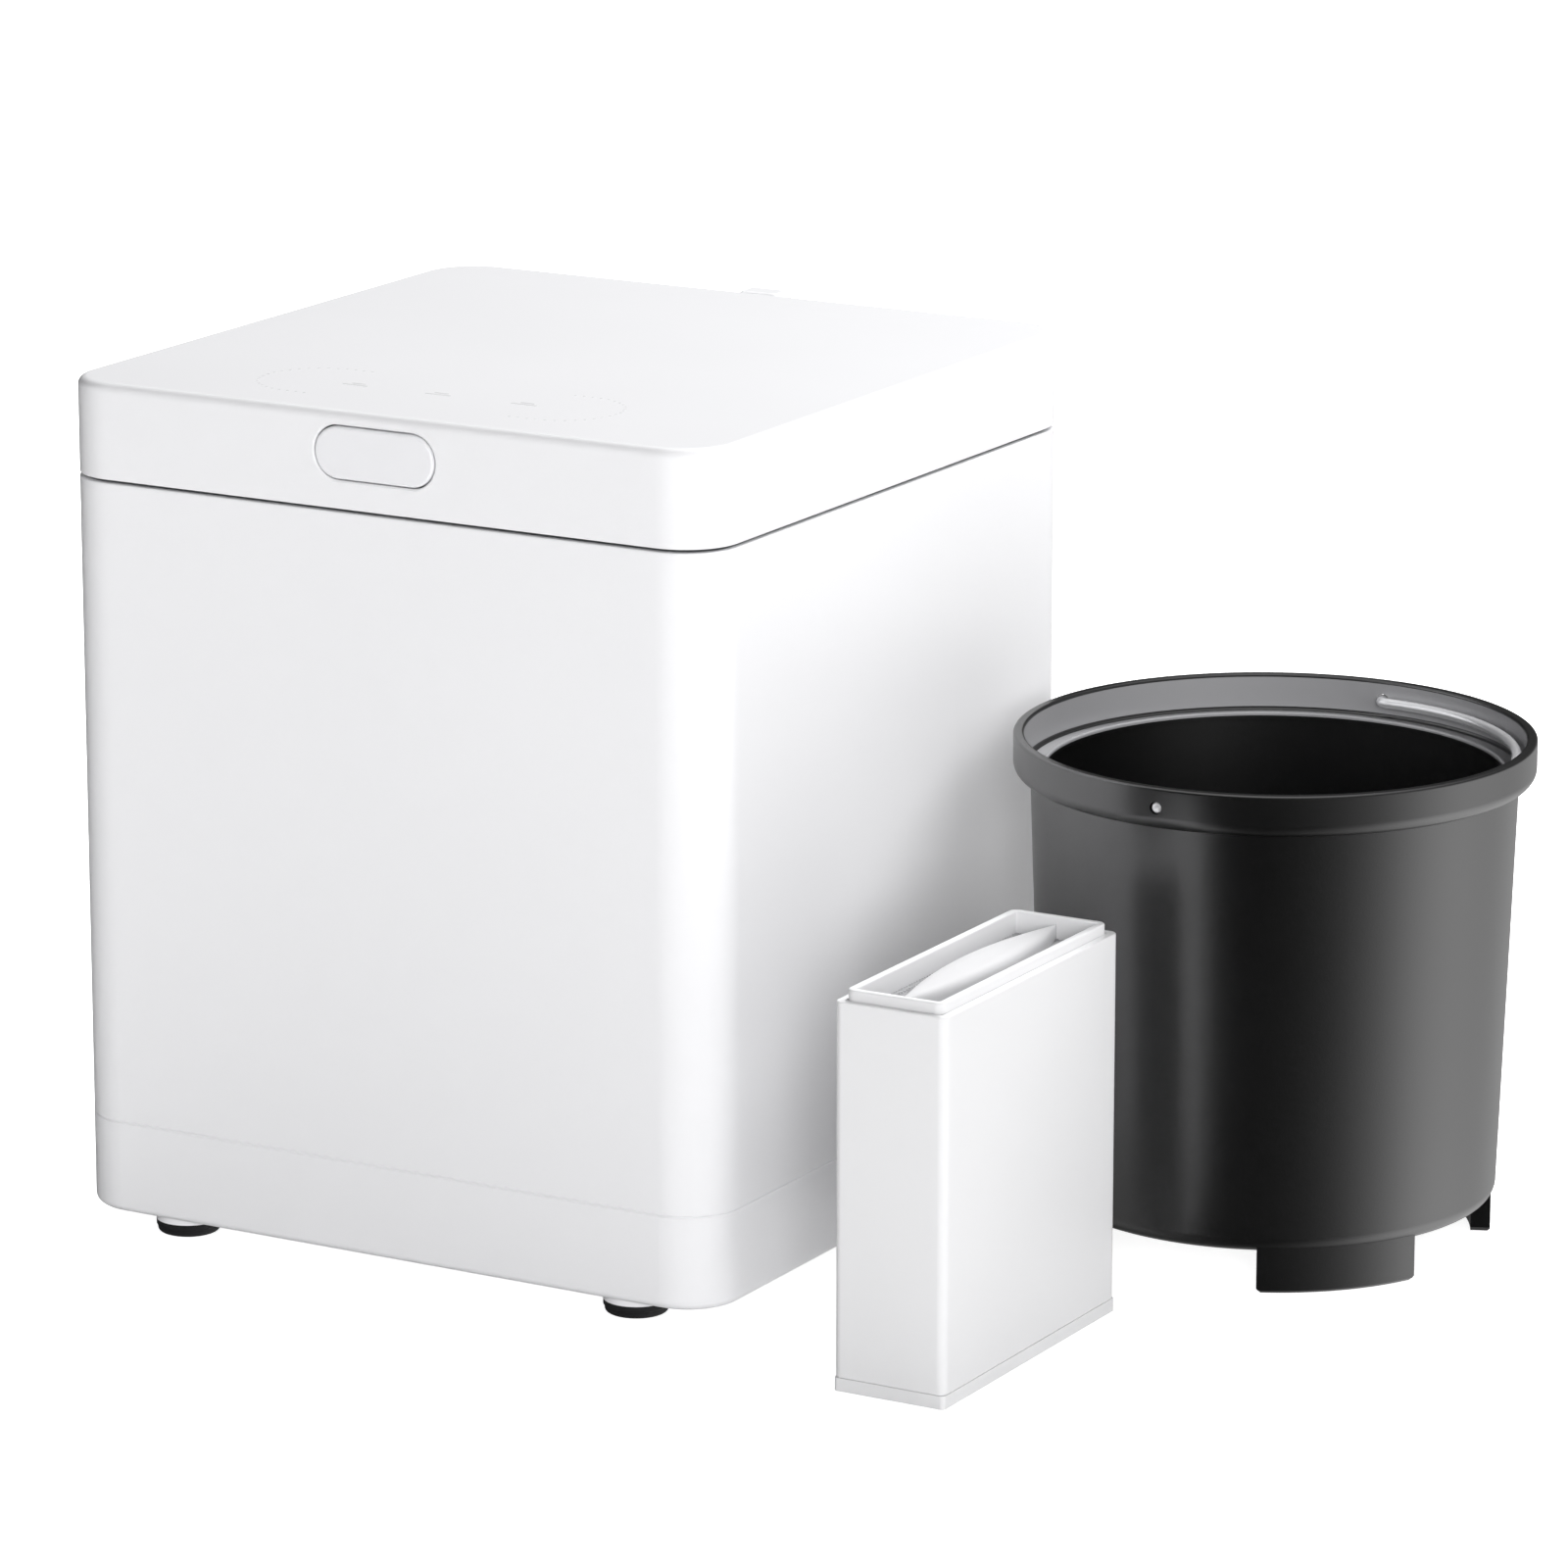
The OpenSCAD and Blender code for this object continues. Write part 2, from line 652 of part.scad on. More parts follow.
module power_inlet() color(dark) machine() translate([inlet_x, body_d / 2, inlet_z]) {
    difference() {
        union() {
            translate([-inlet_w / 2, -inlet_depth, -inlet_h / 2])
                cube([inlet_w, inlet_depth - 0.5, inlet_h]);
            translate([-inlet_w / 2 - 2.5, -wall - 2, -inlet_h / 2 - 2.5])
                cube([inlet_w + 5, 2, inlet_h + 5]);
        }
        translate([0, 0.5, 0]) rotate([90, 0, 0]) linear_extrude(16.5) polygon([[-12, -8.2],
            [12, -8.2], [12, 4.4], [8.2, 8.2], [-8.2, 8.2], [-12, 4.4]]);
    }
    for (p = [[-7, -2], [0, 2], [7, -2]])
        translate([p[0] - 1, -16, p[1] - 2]) cube([2, 11, 4]);
    for (p = [[-7, -2], [7, -2], [0, 2]])
        translate([p[0] - 1, -inlet_depth - 7, p[1] - 2]) cube([2, 7, 4]);
}

// Filter bay, duct and fan

module filter_bay() color(grey) machine() translate([0, bay_y, 0]) difference() {
    union() {
        translate([-bay_w / 2 - bay_t, -bay_d / 2 - bay_t, bay_floor - 2])
            cube([bay_w + 2 * bay_t, bay_d + 2 * bay_t, deck_z - bay_floor + 2]);
        translate([-bay_w / 2 - bay_t - 8, -20, deck_z - 2]) cube([bay_w + 2 * bay_t + 16, 40, 2]);
    }
    translate([-bay_w / 2, -bay_d / 2, bay_floor]) cube([bay_w, bay_d, deck_z]);
    for (x = [-5:5]) translate([x * 5.6 - 1.8, -14, bay_floor - 3]) cube([3.6, 28, 4]);
    for (x = [-1, 1], y = [-1, 1]) translate([x * (bay_w / 2 + bay_t + 4), y * 14, deck_z - 3])
        cylinder(h = 4, r = 1.6);
}

module fan_duct() color(grey) machine() {
    duct_front = bay_y - bay_d / 2 + 2;
    difference() {
        translate([-duct_half, duct_front, fan_z - duct_half])
            cube([2 * duct_half, fan_front - duct_front, bay_floor - 2 - fan_z + duct_half]);
        translate([2 - duct_half, duct_front + 2, fan_z - duct_half + 2])
            cube([2 * duct_half - 4, fan_front - duct_front - 4, bay_floor - fan_z + duct_half]);
        translate([0, fan_front - 3, fan_z]) bar_y(fan_bore, 4);
    }
}

module fan_frame() color(dark) machine() translate([0, fan_front, fan_z]) {
    difference() {
        rotate([-90, 0, 0]) linear_extrude(fan_depth) rounded(fan_size, fan_size, 4);
        translate([0, -1, 0]) bar_y(fan_bore, fan_depth + 2);
        for (x = [-1, 1], z = [-1, 1]) translate([x * fan_pitch / 2, -1, z * fan_pitch / 2])
            bar_y(2, fan_depth + 2);
    }
    bar_y(hub_r, 2);
    bar_y(pin_r, fan_depth - 3.5);
    for (a = [30, 150, 270]) rotate([0, a, 0]) translate([hub_r - 2, 0, -1.5])
        cube([fan_bore - hub_r + 2.4, 2, 3]);
}

module fan_rotor() color(dark) machine() translate([0, fan_front + 2.6, fan_z]) difference() {
    depth = fan_depth - 4.4;
    union() {
        bar_y(hub_r, depth);
        for (i = [0:fan_blades - 1]) rotate([0, i * 360 / fan_blades, 0])
            translate([(hub_r - 2 + fan_bore - 1.6) / 2, depth / 2, 0]) rotate([38, 0, 0])
                cube([fan_bore - 1.6 - hub_r + 2, depth, 1.4], center = true);
    }
    translate([0, -1, 0]) bar_y(pin_r + run_gap, fan_depth - 4.2);
}

module exhaust_grille() color(white) machine() translate([0, body_d / 2, fan_z]) difference() {
    union() {
        translate([0, -wall, 0]) bar_y(grille_r, wall);
        translate([0, -wall - flange_t, 0]) bar_y(grille_r + 2.5, flange_t);
    }
    difference() {
        for (r = [8:5.5:grille_r - 3]) difference() {
            translate([0, -wall - 3, 0]) bar_y(r + 2.6, wall + 4);
            translate([0, -wall - 4, 0]) bar_y(r - 0.6, wall + 6);
        }
        for (a = [0:60:120]) rotate([0, a, 0]) translate([-grille_r, -wall - 5, -1.1])
            cube([2 * grille_r, wall + 8, 2.2]);
    }
}

module fan_screws() color(steel) machine() {
    for (x = [-1, 1], z = [-1, 1])
        translate([x * fan_pitch / 2, body_d / 2 + 2, fan_z + z * fan_pitch / 2])
            rotate([90, 0, 0]) screw(1.9, wall + flange_t + fan_depth - 2, 3.6, 2);
}

// Hinge

module hinge_bracket() color(white) machine() difference() {
    union() {
        translate([-bracket_w / 2, body_d / 2, line_z - 23]) cube([bracket_w, 2.5, 17]);
        for (x = [-1, 1]) translate([x * (hump_w / 4 + bracket_w / 4 + 0.25), 0, 0]) {
            knuckle_w = bracket_w / 2 - hump_w / 2 - 0.5;
            translate([0, hinge_y, hinge_z]) bar_x(knuckle_r, knuckle_w);
            translate([-knuckle_w / 2, body_d / 2 + 0.5, line_z - 11])
                cube([knuckle_w, hinge_y + knuckle_r - body_d / 2 - 0.5, 11]);
        }
    }
    translate([0, hinge_y, hinge_z]) bar_x(pin_d / 2 + run_gap, bracket_w + 2);
    for (x = [-1, 1]) translate([x * 20, body_d / 2 - 1, line_z - 15]) bar_y(1.7, 20);
    for (x = [-1, 1]) translate([x * 20, body_d / 2 + 2.5, line_z - 15]) bar_y(3.2, 20);
}

module hinge_screws() color(steel) machine() {
    for (x = [-1, 1]) translate([x * 20, body_d / 2 + 4.3, line_z - 15])
        rotate([90, 0, 0]) screw(1.5, 9, 2.9, 1.8);
}

module hinge_pin() color(steel) machine() translate([0, hinge_y, hinge_z])
    bar_x(pin_d / 2, bracket_w + 1);

// Lid

module lid_cover() color(white) machine() difference() {
    union() {
        difference() {
            translate([0, 0, lid_z])
                soft_block(body_w, body_d, top_z - lid_z, corner_r, edge_r, line_edge);
            slab(body_w - 2 * wall, body_d - 2 * wall, top_z - wall - lid_z + 1,
                corner_r - wall, lid_z - 1);
            translate([0, front_y - 1, button_z])
                stadium(button_w + 2 * mould_gap, button_h + 2 * mould_gap, wall + 2);
        }
        at_lid_posts() ring(4.5, 1.6, top_z - wall - liner_plate_z - liner_plate_t,
            liner_plate_z + liner_plate_t);
        translate([0, hinge_y, hinge_z]) bar_x(knuckle_r, hump_w);
        translate([-hump_w / 2, body_d / 2 - 0.5, lid_z + 0.3])
            cube([hump_w, 6 + knuckle_r + 0.5, top_z - edge_r - lid_z - 0.3]);
    }
    translate([0, hinge_y, hinge_z]) bar_x(pin_d / 2, hump_w + 2);
}

module lid_liner() color(grey) machine() difference() {
    union() {
        slab(body_w - 2 * wall - mould_gap, body_d - 2 * wall - mould_gap, liner_plate_t,
            corner_r - wall - mould_gap / 2, liner_plate_z);
        translate([-12, guide_y, liner_plate_z]) cube([24, guide_t, button_z + 8 - liner_plate_z]);
        for (x = [-11, 9]) translate([x, guide_y, liner_plate_z])
            cube([2, 12, 14]);
    }
    translate([-hook_w / 2 - 1, front_y + wall + 1, liner_plate_z - 1])
        cube([hook_w + 2, hook_y + hook_t + button_travel + 1 - front_y - wall - 1,
            liner_plate_t + 2]);
    translate([0, guide_y - 1, button_z]) bar_y(guide_r + run_gap, guide_t + 2);
    at_lid_posts() translate([0, 0, liner_plate_z - 1]) {
        cylinder(h = 9, r = 1.7);
        translate([0, 0, 1]) cylinder(h = 1.5, r1 = 3.3, r2 = 1.7);
    }
    for (i = [0:11]) translate([0, well_y, liner_plate_z - 1]) rotate(i * 30 + 15)
        translate([34, -3, 0]) cube([40, 6, liner_plate_t + 2]);
    for (x = [-7:7]) translate([x * 8 - 2, bay_y - 16, liner_plate_z - 1])
        cube([4, 32, liner_plate_t + 2]);
}

module seal_outline(grow) {
    translate([0, well_y]) circle(well_r + grow);
    translate([-bay_w / 2 - grow, well_y]) square([bay_w + 2 * grow, bay_y + bay_d / 2 + grow - well_y]);
}

module lid_seal() color(dark) machine() translate([0, 0, deck_top + 0.3])
    linear_extrude(liner_plate_z - deck_top - 0.3) difference() {
        seal_outline(3.5);
        seal_outline(1);
    }

module touch_board() color([0.1, 0.3, 0.25]) machine() translate([0, touch_y, 0]) {
    slab(touch_w, touch_d, 1.6, 4, top_z - wall - 1.6);
    for (x = [-37, 0, 37]) translate([x, 0, top_z - wall - 4.6]) cylinder(h = 3, r = 5);
    translate([50, -8, top_z - wall - 7.6]) cube([14, 12, 6]);
}

module lid_screws() color(steel) machine() {
    at_lid_posts() translate([0, 0, liner_plate_z]) {
        cylinder(h = 1.5, r1 = 3.1, r2 = 1.5);
        cylinder(h = 14, r = 1.5);
    }
}

// Button and latch

module button_cap() color(white) machine() {
    translate([0, front_y - button_proud, button_z]) {
        stadium(button_w, button_h, cap_t);
        translate([0, button_proud + wall + 0.3, 0])
            stadium(button_w + 2 * button_lip, button_h + 2 * button_lip,
                cap_t - button_proud - wall - 0.3);
        bar_y(5, hook_y - front_y + button_proud);
    }
}

module latch_hook() color(grey) machine() {
    translate([-hook_w / 2, hook_y, nose_z - nose_h])
        cube([hook_w, hook_t, button_z + 6 - nose_z + nose_h]);
    translate([-hook_w / 2, 0, 0]) rotate([90, 0, 90]) linear_extrude(hook_w)
        polygon([[hook_y + hook_t, nose_z - nose_h], [hook_y + hook_t, nose_z],
            [nose_tip, nose_z], [nose_tip, nose_z - 1], [hook_y, nose_z - nose_h]]);
    translate([0, hook_y, button_z]) bar_y(guide_r, guide_y + guide_t + 2 - hook_y);
}

// Open coil between the hook and its guide wall
module button_spring() color(steel) machine() {
    free = guide_y - hook_y - hook_t;
    coil_r = guide_r + 1.2;
    wire_r = 0.5;
    turns = 4;
    steps = 12;
    rings = turns * steps;
    pitch = free - 2 * wire_r - 0.1;
    spine = [for (i = [0:rings]) let (a = 360 * i / steps)
        [coil_r * cos(a), hook_y + hook_t + wire_r + 0.05 + pitch * i / rings,
            button_z + coil_r * sin(a), a]];
    points = [for (p = spine, k = [0:5]) [p[0] + wire_r * cos(k * 60) * cos(p[3]),
        p[1] + wire_r * sin(k * 60), p[2] + wire_r * cos(k * 60) * sin(p[3])]];
    faces = concat([[for (k = [0:5]) k]], [[for (k = [5:-1:0]) rings * 6 + k]],
        [for (i = [0:rings - 1], k = [0:5]) let (n = (k + 1) % 6)
            each [[i * 6 + k, i * 6 + 6 + k, i * 6 + 6 + n], [i * 6 + k, i * 6 + 6 + n, i * 6 + n]]]);
    echo(spring_gap = pitch / turns - 2 * wire_r);
    polyhedron(points, faces);
}

// Bucket

// Outer radius of the pot wall at height z
function pot_r(z) = pot_low_r + (pot_top_r - pot_low_r) * (z - lug_h) / (collar_z - lug_h);

module bucket_pot() color(dark) bucket() difference() {
    rotate_extrude($fn = 128) polygon(concat([[0, lug_h]],
        arc([pot_low_r - foot_round, lug_h + foot_round], foot_round, -90, 0),
        [[pot_top_r, collar_z], [0, collar_z]]));
    rotate_extrude($fn = 128) polygon(concat([[0, lug_h + pot_wall]],
        arc([pot_low_r - pot_wall - 4, lug_h + pot_wall + 4], 4, -90, 0),
        [[pot_top_r - pot_wall, collar_z + 1], [0, collar_z + 1]]));
    cylinder(h = bucket_h, r = shaft_r + 3);
}

module bucket_collar() color(dark) bucket() difference() {
    rotate_extrude($fn = 128) polygon(concat([[ledge_r, collar_z]],
        arc([rim_r - 5, collar_z + 5], 5, -90, 0), arc([rim_r - 1, bucket_h - 1], 1, 0, 90, 3),
        arc([rim_r - rim_wall + 1, bucket_h - 1], 1, 90, 180, 3),
        [[rim_r - rim_wall, collar_z + ledge_t], [ledge_r, collar_z + ledge_t]]));
    translate([0, 0, bail_z]) for (a = [0, 180]) rotate([0, 0, a]) translate([0, rim_r - 10, 0])
        bar_y(wire_d / 2 + 0.09, 20);
}

// Four lugs under the pot's rounded edge, with the corners of their feet cut off
module bucket_foot() color(dark) bucket() difference() {
    rotate_extrude($fn = 128) polygon(concat([[lug_r - lug_t, 0], [lug_r - 1, 0], [lug_r, 1]],
        arc([pot_low_r - foot_round, lug_h + foot_round], foot_round,
            -acos(1 - lug_in / foot_round), -90), [[lug_r - lug_t, lug_h]]));
    for (a = [0:90:270]) rotate(a) {
        translate([0, 0, -1]) linear_extrude(lug_h + foot_round) polygon([[0, 0],
            for (side = [-1, 1]) 2 * lug_r * [cos(lug_gap / 2), side * sin(lug_gap / 2)]]);
        for (side = [-1, 1]) rotate(side * lug_gap / 2) rotate([45, 0, 0])
            translate([lug_r - 2 * lug_t, -1.2, -1.2]) cube([3 * lug_t, 2.4, 2.4]);
    }
}

module bucket_bush() color([0.7, 0.55, 0.25]) bucket() {
    ring(shaft_r + 2.9, shaft_r + run_gap, pot_wall + 5, lug_h - 4);
    ring(shaft_r + 7, shaft_r + run_gap, 2, lug_h + pot_wall);
}

module breaker_bars() color(steel) bucket() {
    reach = pot_r(bar_z) - pot_wall - 0.2;
    for (a = [25, 205]) rotate(a) translate([52, -4, bar_z]) difference() {
        cube([reach - 52, 8, bar_h]);
        for (y = [-1, 9]) translate([-1, y, bar_h]) rotate([0, 90, 0])
            cylinder(h = 20, r = 2);
    }
}

module bail() color(steel) bucket() translate([0, 0, bail_z]) {
    rotate([0, 0, -90]) rotate_extrude(angle = 180) translate([bail_r, 0]) circle(wire_d / 2);
    for (a = [0, 180]) rotate([0, 0, a]) translate([0, bail_r, 0]) {
        sphere(wire_d / 2 + 0.25);
        bar_y(wire_d / 2, rim_r - bail_r - 0.2);
    }
}

// Agitator in the bucket

module agitator_shaft() color(steel) bucket() {
    translate([0, 0, dog_roof + 0.3]) cylinder(h = agitator_z + hub_h - dog_roof - 0.3, r = shaft_r);
    translate([0, 0, agitator_z + hub_h]) cylinder(h = 6, r = 4);
}

// One swept arm from the hub towards the wall
module blade(z) {
    sweep = pot_low_r / 2 - 5;
    translate([sweep, 0, z]) rotate(180) rotate_extrude(angle = -155) translate([sweep - 4, 0])
        polygon([[0, 0], [4, 0], [4, blade_h - 4], [2.5, blade_h], [1, blade_h], [0, blade_h - 4]]);
}

module agitator_blades() color(steel) bucket() difference() {
    union() {
        translate([0, 0, agitator_z]) cylinder(h = hub_h, r = shaft_r + 7);
        for (a = [0, 180]) {
            rotate(a) blade(agitator_z);
            rotate(a + 90) blade(agitator_z + hub_h - blade_h);
        }
    }
    cylinder(h = bucket_h, r = shaft_r);
}

module agitator_nut() color(steel) bucket() translate([0, 0, agitator_z + hub_h]) difference() {
    union() {
        cylinder(h = 5, r = 8, $fn = 6);
        translate([0, 0, 5]) cylinder(h = 4, r1 = 6.4, r2 = 4);
    }
    translate([0, 0, -1]) cylinder(h = 7.2, r = 4);
}

module agitator_coupling() color(dark) bucket() difference() {
    translate([0, 0, 3]) cylinder(h = lug_h - 4.7 - 3, r = shaft_r + 6.5);
    translate([0, 0, dog_roof + 0.3]) cylinder(h = 10, r = shaft_r);
    for (a = [0, 90]) rotate(a) translate([-20, -2.3, 2]) cube([40, 4.6, dog_roof - 2]);
}

// Filter cartridge

module filter_case() color(white) filter() {
    tube(filter_w, filter_len, case_h - cap_h, filter_r, filter_wall, cap_h);
    tube(filter_w - 2, filter_len - 2, 1.6, 0.8, frame_in - 1 - mould_gap / 2, case_h - 1.6);
}

module filter_cap() color(white) filter() difference() {
    union() {
        slab(filter_w, filter_len, cap_h, filter_r);
        slab(filter_w - 2 * filter_wall - mould_gap, filter_len - 2 * filter_wall - mould_gap,
            cap_h + 3, 0.8);
    }
    for (y = [-6:6]) translate([-filter_w / 2 + 8, y * 8.8 - 2, -1])
        cube([filter_w - 16, 4, cap_h + 6]);
}

module filter_frame() color(white) filter() {
    tube(filter_w - 2 * frame_in, filter_len - 2 * frame_in, filter_h - mesh_z, 1.2, frame_t, mesh_z);
    tube(filter_w - 2 * filter_wall - mould_gap, filter_len - 2 * filter_wall - mould_gap,
        3, 0.8, 6, mesh_z - 3);
}

module filter_mesh() color(white) filter() translate([0, 0, mesh_z]) linear_extrude(mesh_t)
    difference() {
        mesh_w = filter_w - 2 * frame_in - 2 * frame_t - mould_gap;
        mesh_len = filter_len - 2 * frame_in - 2 * frame_t - mould_gap;
        square([mesh_w, mesh_len], center = true);
        rows = floor((mesh_len / 2 - 2) / 4.2);
        columns = floor((mesh_w / 2 - 2) / 4 - 0.5) + 0.5;
        for (x = [-columns:columns], y = [-rows:rows]) translate([x * 4, y * 4.2])
            rotate(x - floor(x / 2) * 2 < 1 ? 35 : -35) square([3.2, 1.8], center = true);
    }

module filter_grip() color(white) filter() {
    half = grip_len / 2;
    bow = (half * half + grip_w * grip_w / 4) / grip_w;
    low = mesh_z + mesh_t;
    high = filter_h - low - 0.6;
    crown = 700;
    intersection() {
        translate([grip_w / 2 - bow, 0, low]) cylinder(h = high, r = bow, $fn = 256);
        translate([bow - grip_w / 2, 0, low]) cylinder(h = high, r = bow, $fn = 256);
        translate([0, 0, low + high - crown]) rotate([0, 90, 0])
            cylinder(h = 2 * grip_w, r = crown, center = true, $fn = 256);
    }
}

module carbon_block() color([0.1, 0.1, 0.1]) filter() {
    inset = filter_wall + 0.4;
    slab(filter_w - 2 * inset, filter_len - 2 * inset, mesh_z - 3 - cap_h - 3, 0.8, cap_h + 3);
}

base_pan();
foot_front_left();
foot_front_right();
foot_back_left();
foot_back_right();
base_posts();
foot_screws();
outer_shell();
deck();
deck_screws();
well_liner();
heater_plate();
heating_element();
temperature_sensor();
insulation_sleeve();
gear_plate();
gearbox_cover();
gearbox_screws();
drive_bush();
idler_pin();
motor_case();
main_board();
filter_bay();
fan_duct();
fan_frame();
exhaust_grille();
fan_screws();
power_inlet();
hinge_bracket();
hinge_screws();
motor_rotor();
idler_gear();
drive_gear();
drive_shaft();
fan_rotor();
lid_cover();
lid_liner();
lid_seal();
touch_board();
hinge_pin();
lid_screws();
button_cap();
latch_hook();
button_spring();
bucket_pot();
bucket_collar();
bucket_foot();
bucket_bush();
breaker_bars();
bail();
agitator_shaft();
agitator_blades();
agitator_nut();
agitator_coupling();
filter_case();
filter_cap();
filter_frame();
filter_mesh();
filter_grip();
carbon_block();
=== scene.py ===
import json
import math
from functools import reduce

import bpy
import numpy as np
from bpy.props import FloatProperty, FloatVectorProperty, IntProperty, PointerProperty
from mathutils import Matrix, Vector


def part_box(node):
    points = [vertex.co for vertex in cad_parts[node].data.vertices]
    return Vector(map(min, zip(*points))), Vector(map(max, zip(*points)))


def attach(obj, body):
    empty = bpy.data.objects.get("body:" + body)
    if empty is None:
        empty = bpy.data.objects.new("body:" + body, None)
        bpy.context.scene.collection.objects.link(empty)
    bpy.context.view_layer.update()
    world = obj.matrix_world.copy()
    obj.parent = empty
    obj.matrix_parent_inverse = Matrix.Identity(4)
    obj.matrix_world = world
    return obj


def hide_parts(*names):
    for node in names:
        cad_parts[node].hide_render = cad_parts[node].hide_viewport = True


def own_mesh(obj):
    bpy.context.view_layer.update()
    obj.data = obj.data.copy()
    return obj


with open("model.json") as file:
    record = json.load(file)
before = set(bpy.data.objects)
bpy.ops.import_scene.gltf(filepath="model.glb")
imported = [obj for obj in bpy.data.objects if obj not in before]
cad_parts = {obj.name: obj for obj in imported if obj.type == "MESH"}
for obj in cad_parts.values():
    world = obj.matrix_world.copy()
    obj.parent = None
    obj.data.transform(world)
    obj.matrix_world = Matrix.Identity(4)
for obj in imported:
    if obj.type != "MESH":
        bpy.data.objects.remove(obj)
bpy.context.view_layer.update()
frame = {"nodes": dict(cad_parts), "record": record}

bl_info = {
    "name": "Food Waste Composter",
    "version": (1, 0, 0),
    "blender": (4, 5, 0),
    "location": "3D View > Sidebar > Composter",
    "description": "Builds the finish of a worktop composter, its bucket and its filter cartridge",
    "category": "Add Mesh",
}

MM = 0.001
SMOOTH_ANGLE = 32  # degrees: edges past it stay sharp
ARC_STEPS = 14
RING_STEPS = 160
SUPPORT = 0.25 * MM  # the extra points that keep a flat face flat stand this near to its edge
HAIR = 0.01 * MM  # left of a round end's straight side, so that no side has length 0

# Housing and lid
CUT_REACH = 20 * MM
FAN_RIM = 1.5 * MM
FAN_SCREW_PITCH = 25 / 30  # as a share of half the fan frame's width
FAN_SCREW_HOLE = 2.1 * MM
CORE = 0.4 * MM  # a capped profile ends this far outside the centre of its outline's corners
LID_LIP = 0.4 * MM
LID_FILLET = 1.5 * MM
HUMP_WIDTH = 19 * MM
HUMP_ROUND = 2.5 * MM
HUMP_SOLE = 2.1 * MM
HUMP_CROWN = 2.7 * MM
HUMP_OVERLAP = 1 * MM

# Button and spring
BUTTON_SIZE = np.array([51.0, 19.5]) * MM
BUTTON_GAP = 0.55 * MM
BUTTON_FLARE = 0.6 * MM
BUTTON_ROUND = 1.1 * MM
BUTTON_DEPTH = 5.2 * MM
BUTTON_CORE = 0.6 * MM
SPRING_TURNS = 4
SPRING_WIRE = 0.5 * MM

# Touch marks
MARK_LIFT = 0.06 * MM
MARK_HEIGHT = 0.9 * MARK_LIFT
TOUCH_HALF = 53 * MM
TOUCH_RADIUS = 22.5 * MM
TOUCH_ENDS = 0.8  # the dots inside this share of the half length are left out
DOT_RADIUS = 0.55 * MM
BAR_LENGTH, BAR_WIDTH = 11 * MM, 1.3 * MM
BAR_PLACES = (-36 * MM, 0, 37 * MM)
BAR_ROWS = ((-1.3 * MM, 1.0), (1.3 * MM, 0.55))  # y, and share of the length

# Bucket
POT_TAPER = 5.4 * MM
POT_HUB = 9 * MM
POT_DRAFT = 2  # degrees
LEDGE_WIDTH = 8 * MM
LEDGE_LIP = 0.8 * MM
COLLAR_ROUND = 5 * MM
RIM_ROUND = 0.9 * MM
WIRE_CLEARANCE = 0.45 * MM
WIRE_CUT = (-8 * MM, 4 * MM)  # the holes' ends, measured out from the collar's side
WIRE_PLAY = 0.25 * MM
BAIL_BEND = 3.2 * MM
BAIL_DOME = 0.9 * MM
# Painted reflection on the collar's inner wall: how far its grey reaches into the wall, below the
# ledge and short of the rim
PAINTED_REFLECTION_INTO_WALL = 0.6 * MM
PAINTED_REFLECTION_UNDER_LEDGE = 0.5 * MM
PAINTED_REFLECTION_UNDER_RIM = 1.1 * MM
# Band of painted shade, the coat's black, in the crease where the collar's wall meets its ledge
PAINTED_SHADE_INWARD, PAINTED_SHADE_UP, PAINTED_SHADE_DOWN = 1.6 * MM, 1.3 * MM, 1 * MM

# Filter cartridge
CASE_WALL = 1.6 * MM
CASE_ROUND = 0.5 * MM
CASE_LIP = 2.9 * MM
CASE_EDGE_EXTRA = 1.4 * MM
FRAME_INSET = 3 * MM
FRAME_CORNER = 3.4 * MM
FRAME_ROUND = 0.7 * MM
MESH_POINTS = (72, 360)
MESH_ANGLE = 60  # degrees, as SMOOTH_ANGLE
RIDGE_SLOPE = 1.2
RIDGE_HEIGHT = 0.35 * MM
RIDGE_CLIP = 1.6  # the wave's height before it is cut off at 1
FOLD_FALL = 8  # how fast the wave grows from 0 at a fold
GRIP_POINTS = (81, 25)
GRIP_POWERS = (0.75, 0.45)  # of the cosine across and the sine upwards
GRIP_MARGIN = 0.1 * MM
GRIP_TIP = 0.12 * MM
GRIP_DROP = 2.2 * MM

# Stage
FLOOR_HALF = 12.0
FLOOR_DROP = 0.2 * MM
AIM = Vector((-0.05, 0, 0.16))
# Each lamp with the name of its setting, its place and its size
BOXES = (
    ("front_box", (2.84, -5.05, 1.66), 2.8),
    ("back_box", (-0.05, 4.24, 4.4), 3.5),
    ("near_box", (0.5, 0.2, 0.75), 0.5),
)
# Each lobe of the sky with the name of its setting, its direction and its sharpness
LOBES = (("right_light", (0.87, -0.5, 0.15), 12),)
SHINE = (
    ("right_shine", (0.899, 0.438, -0.6), 6),
    ("far_shine", (0.07, 0.998, -0.7), 6),
    ("left_shine", (-0.899, -0.438, -0.6), 6),
    ("top_shine", (0.0, 0.0, 1.0), 3),
)

# Node groups, socket kinds and shader values
MOULDED, BRUSHED = "Moulded Skin", "Brushed Metal"
NUMBER, VECTOR, COLOUR = "NodeSocketFloat", "NodeSocketVector", "NodeSocketColor"
METAL = {"Metallic": 1.0}


def corners(*nodes):
    """Lowest and highest corner of the box around some nodes of the frame, as arrays."""
    boxes = [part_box(n) for n in nodes]
    low = np.min([np.array(b[0]) for b in boxes], axis=0)
    high = np.max([np.array(b[1]) for b in boxes], axis=0)
    return low, high


def middle(*nodes):
    """Centre of the box around some nodes."""
    low, high = corners(*nodes)
    return (low + high) / 2


# Profiles and paths


def arc(centre, radius, start, stop, steps):
    """Points centre + radius * (cos t, sin t), with t from start to stop in degrees."""
    t = np.radians(np.linspace(start, stop, steps + 1))
    return np.column_stack([centre[0] + radius * np.cos(t), centre[1] + radius * np.sin(t)])


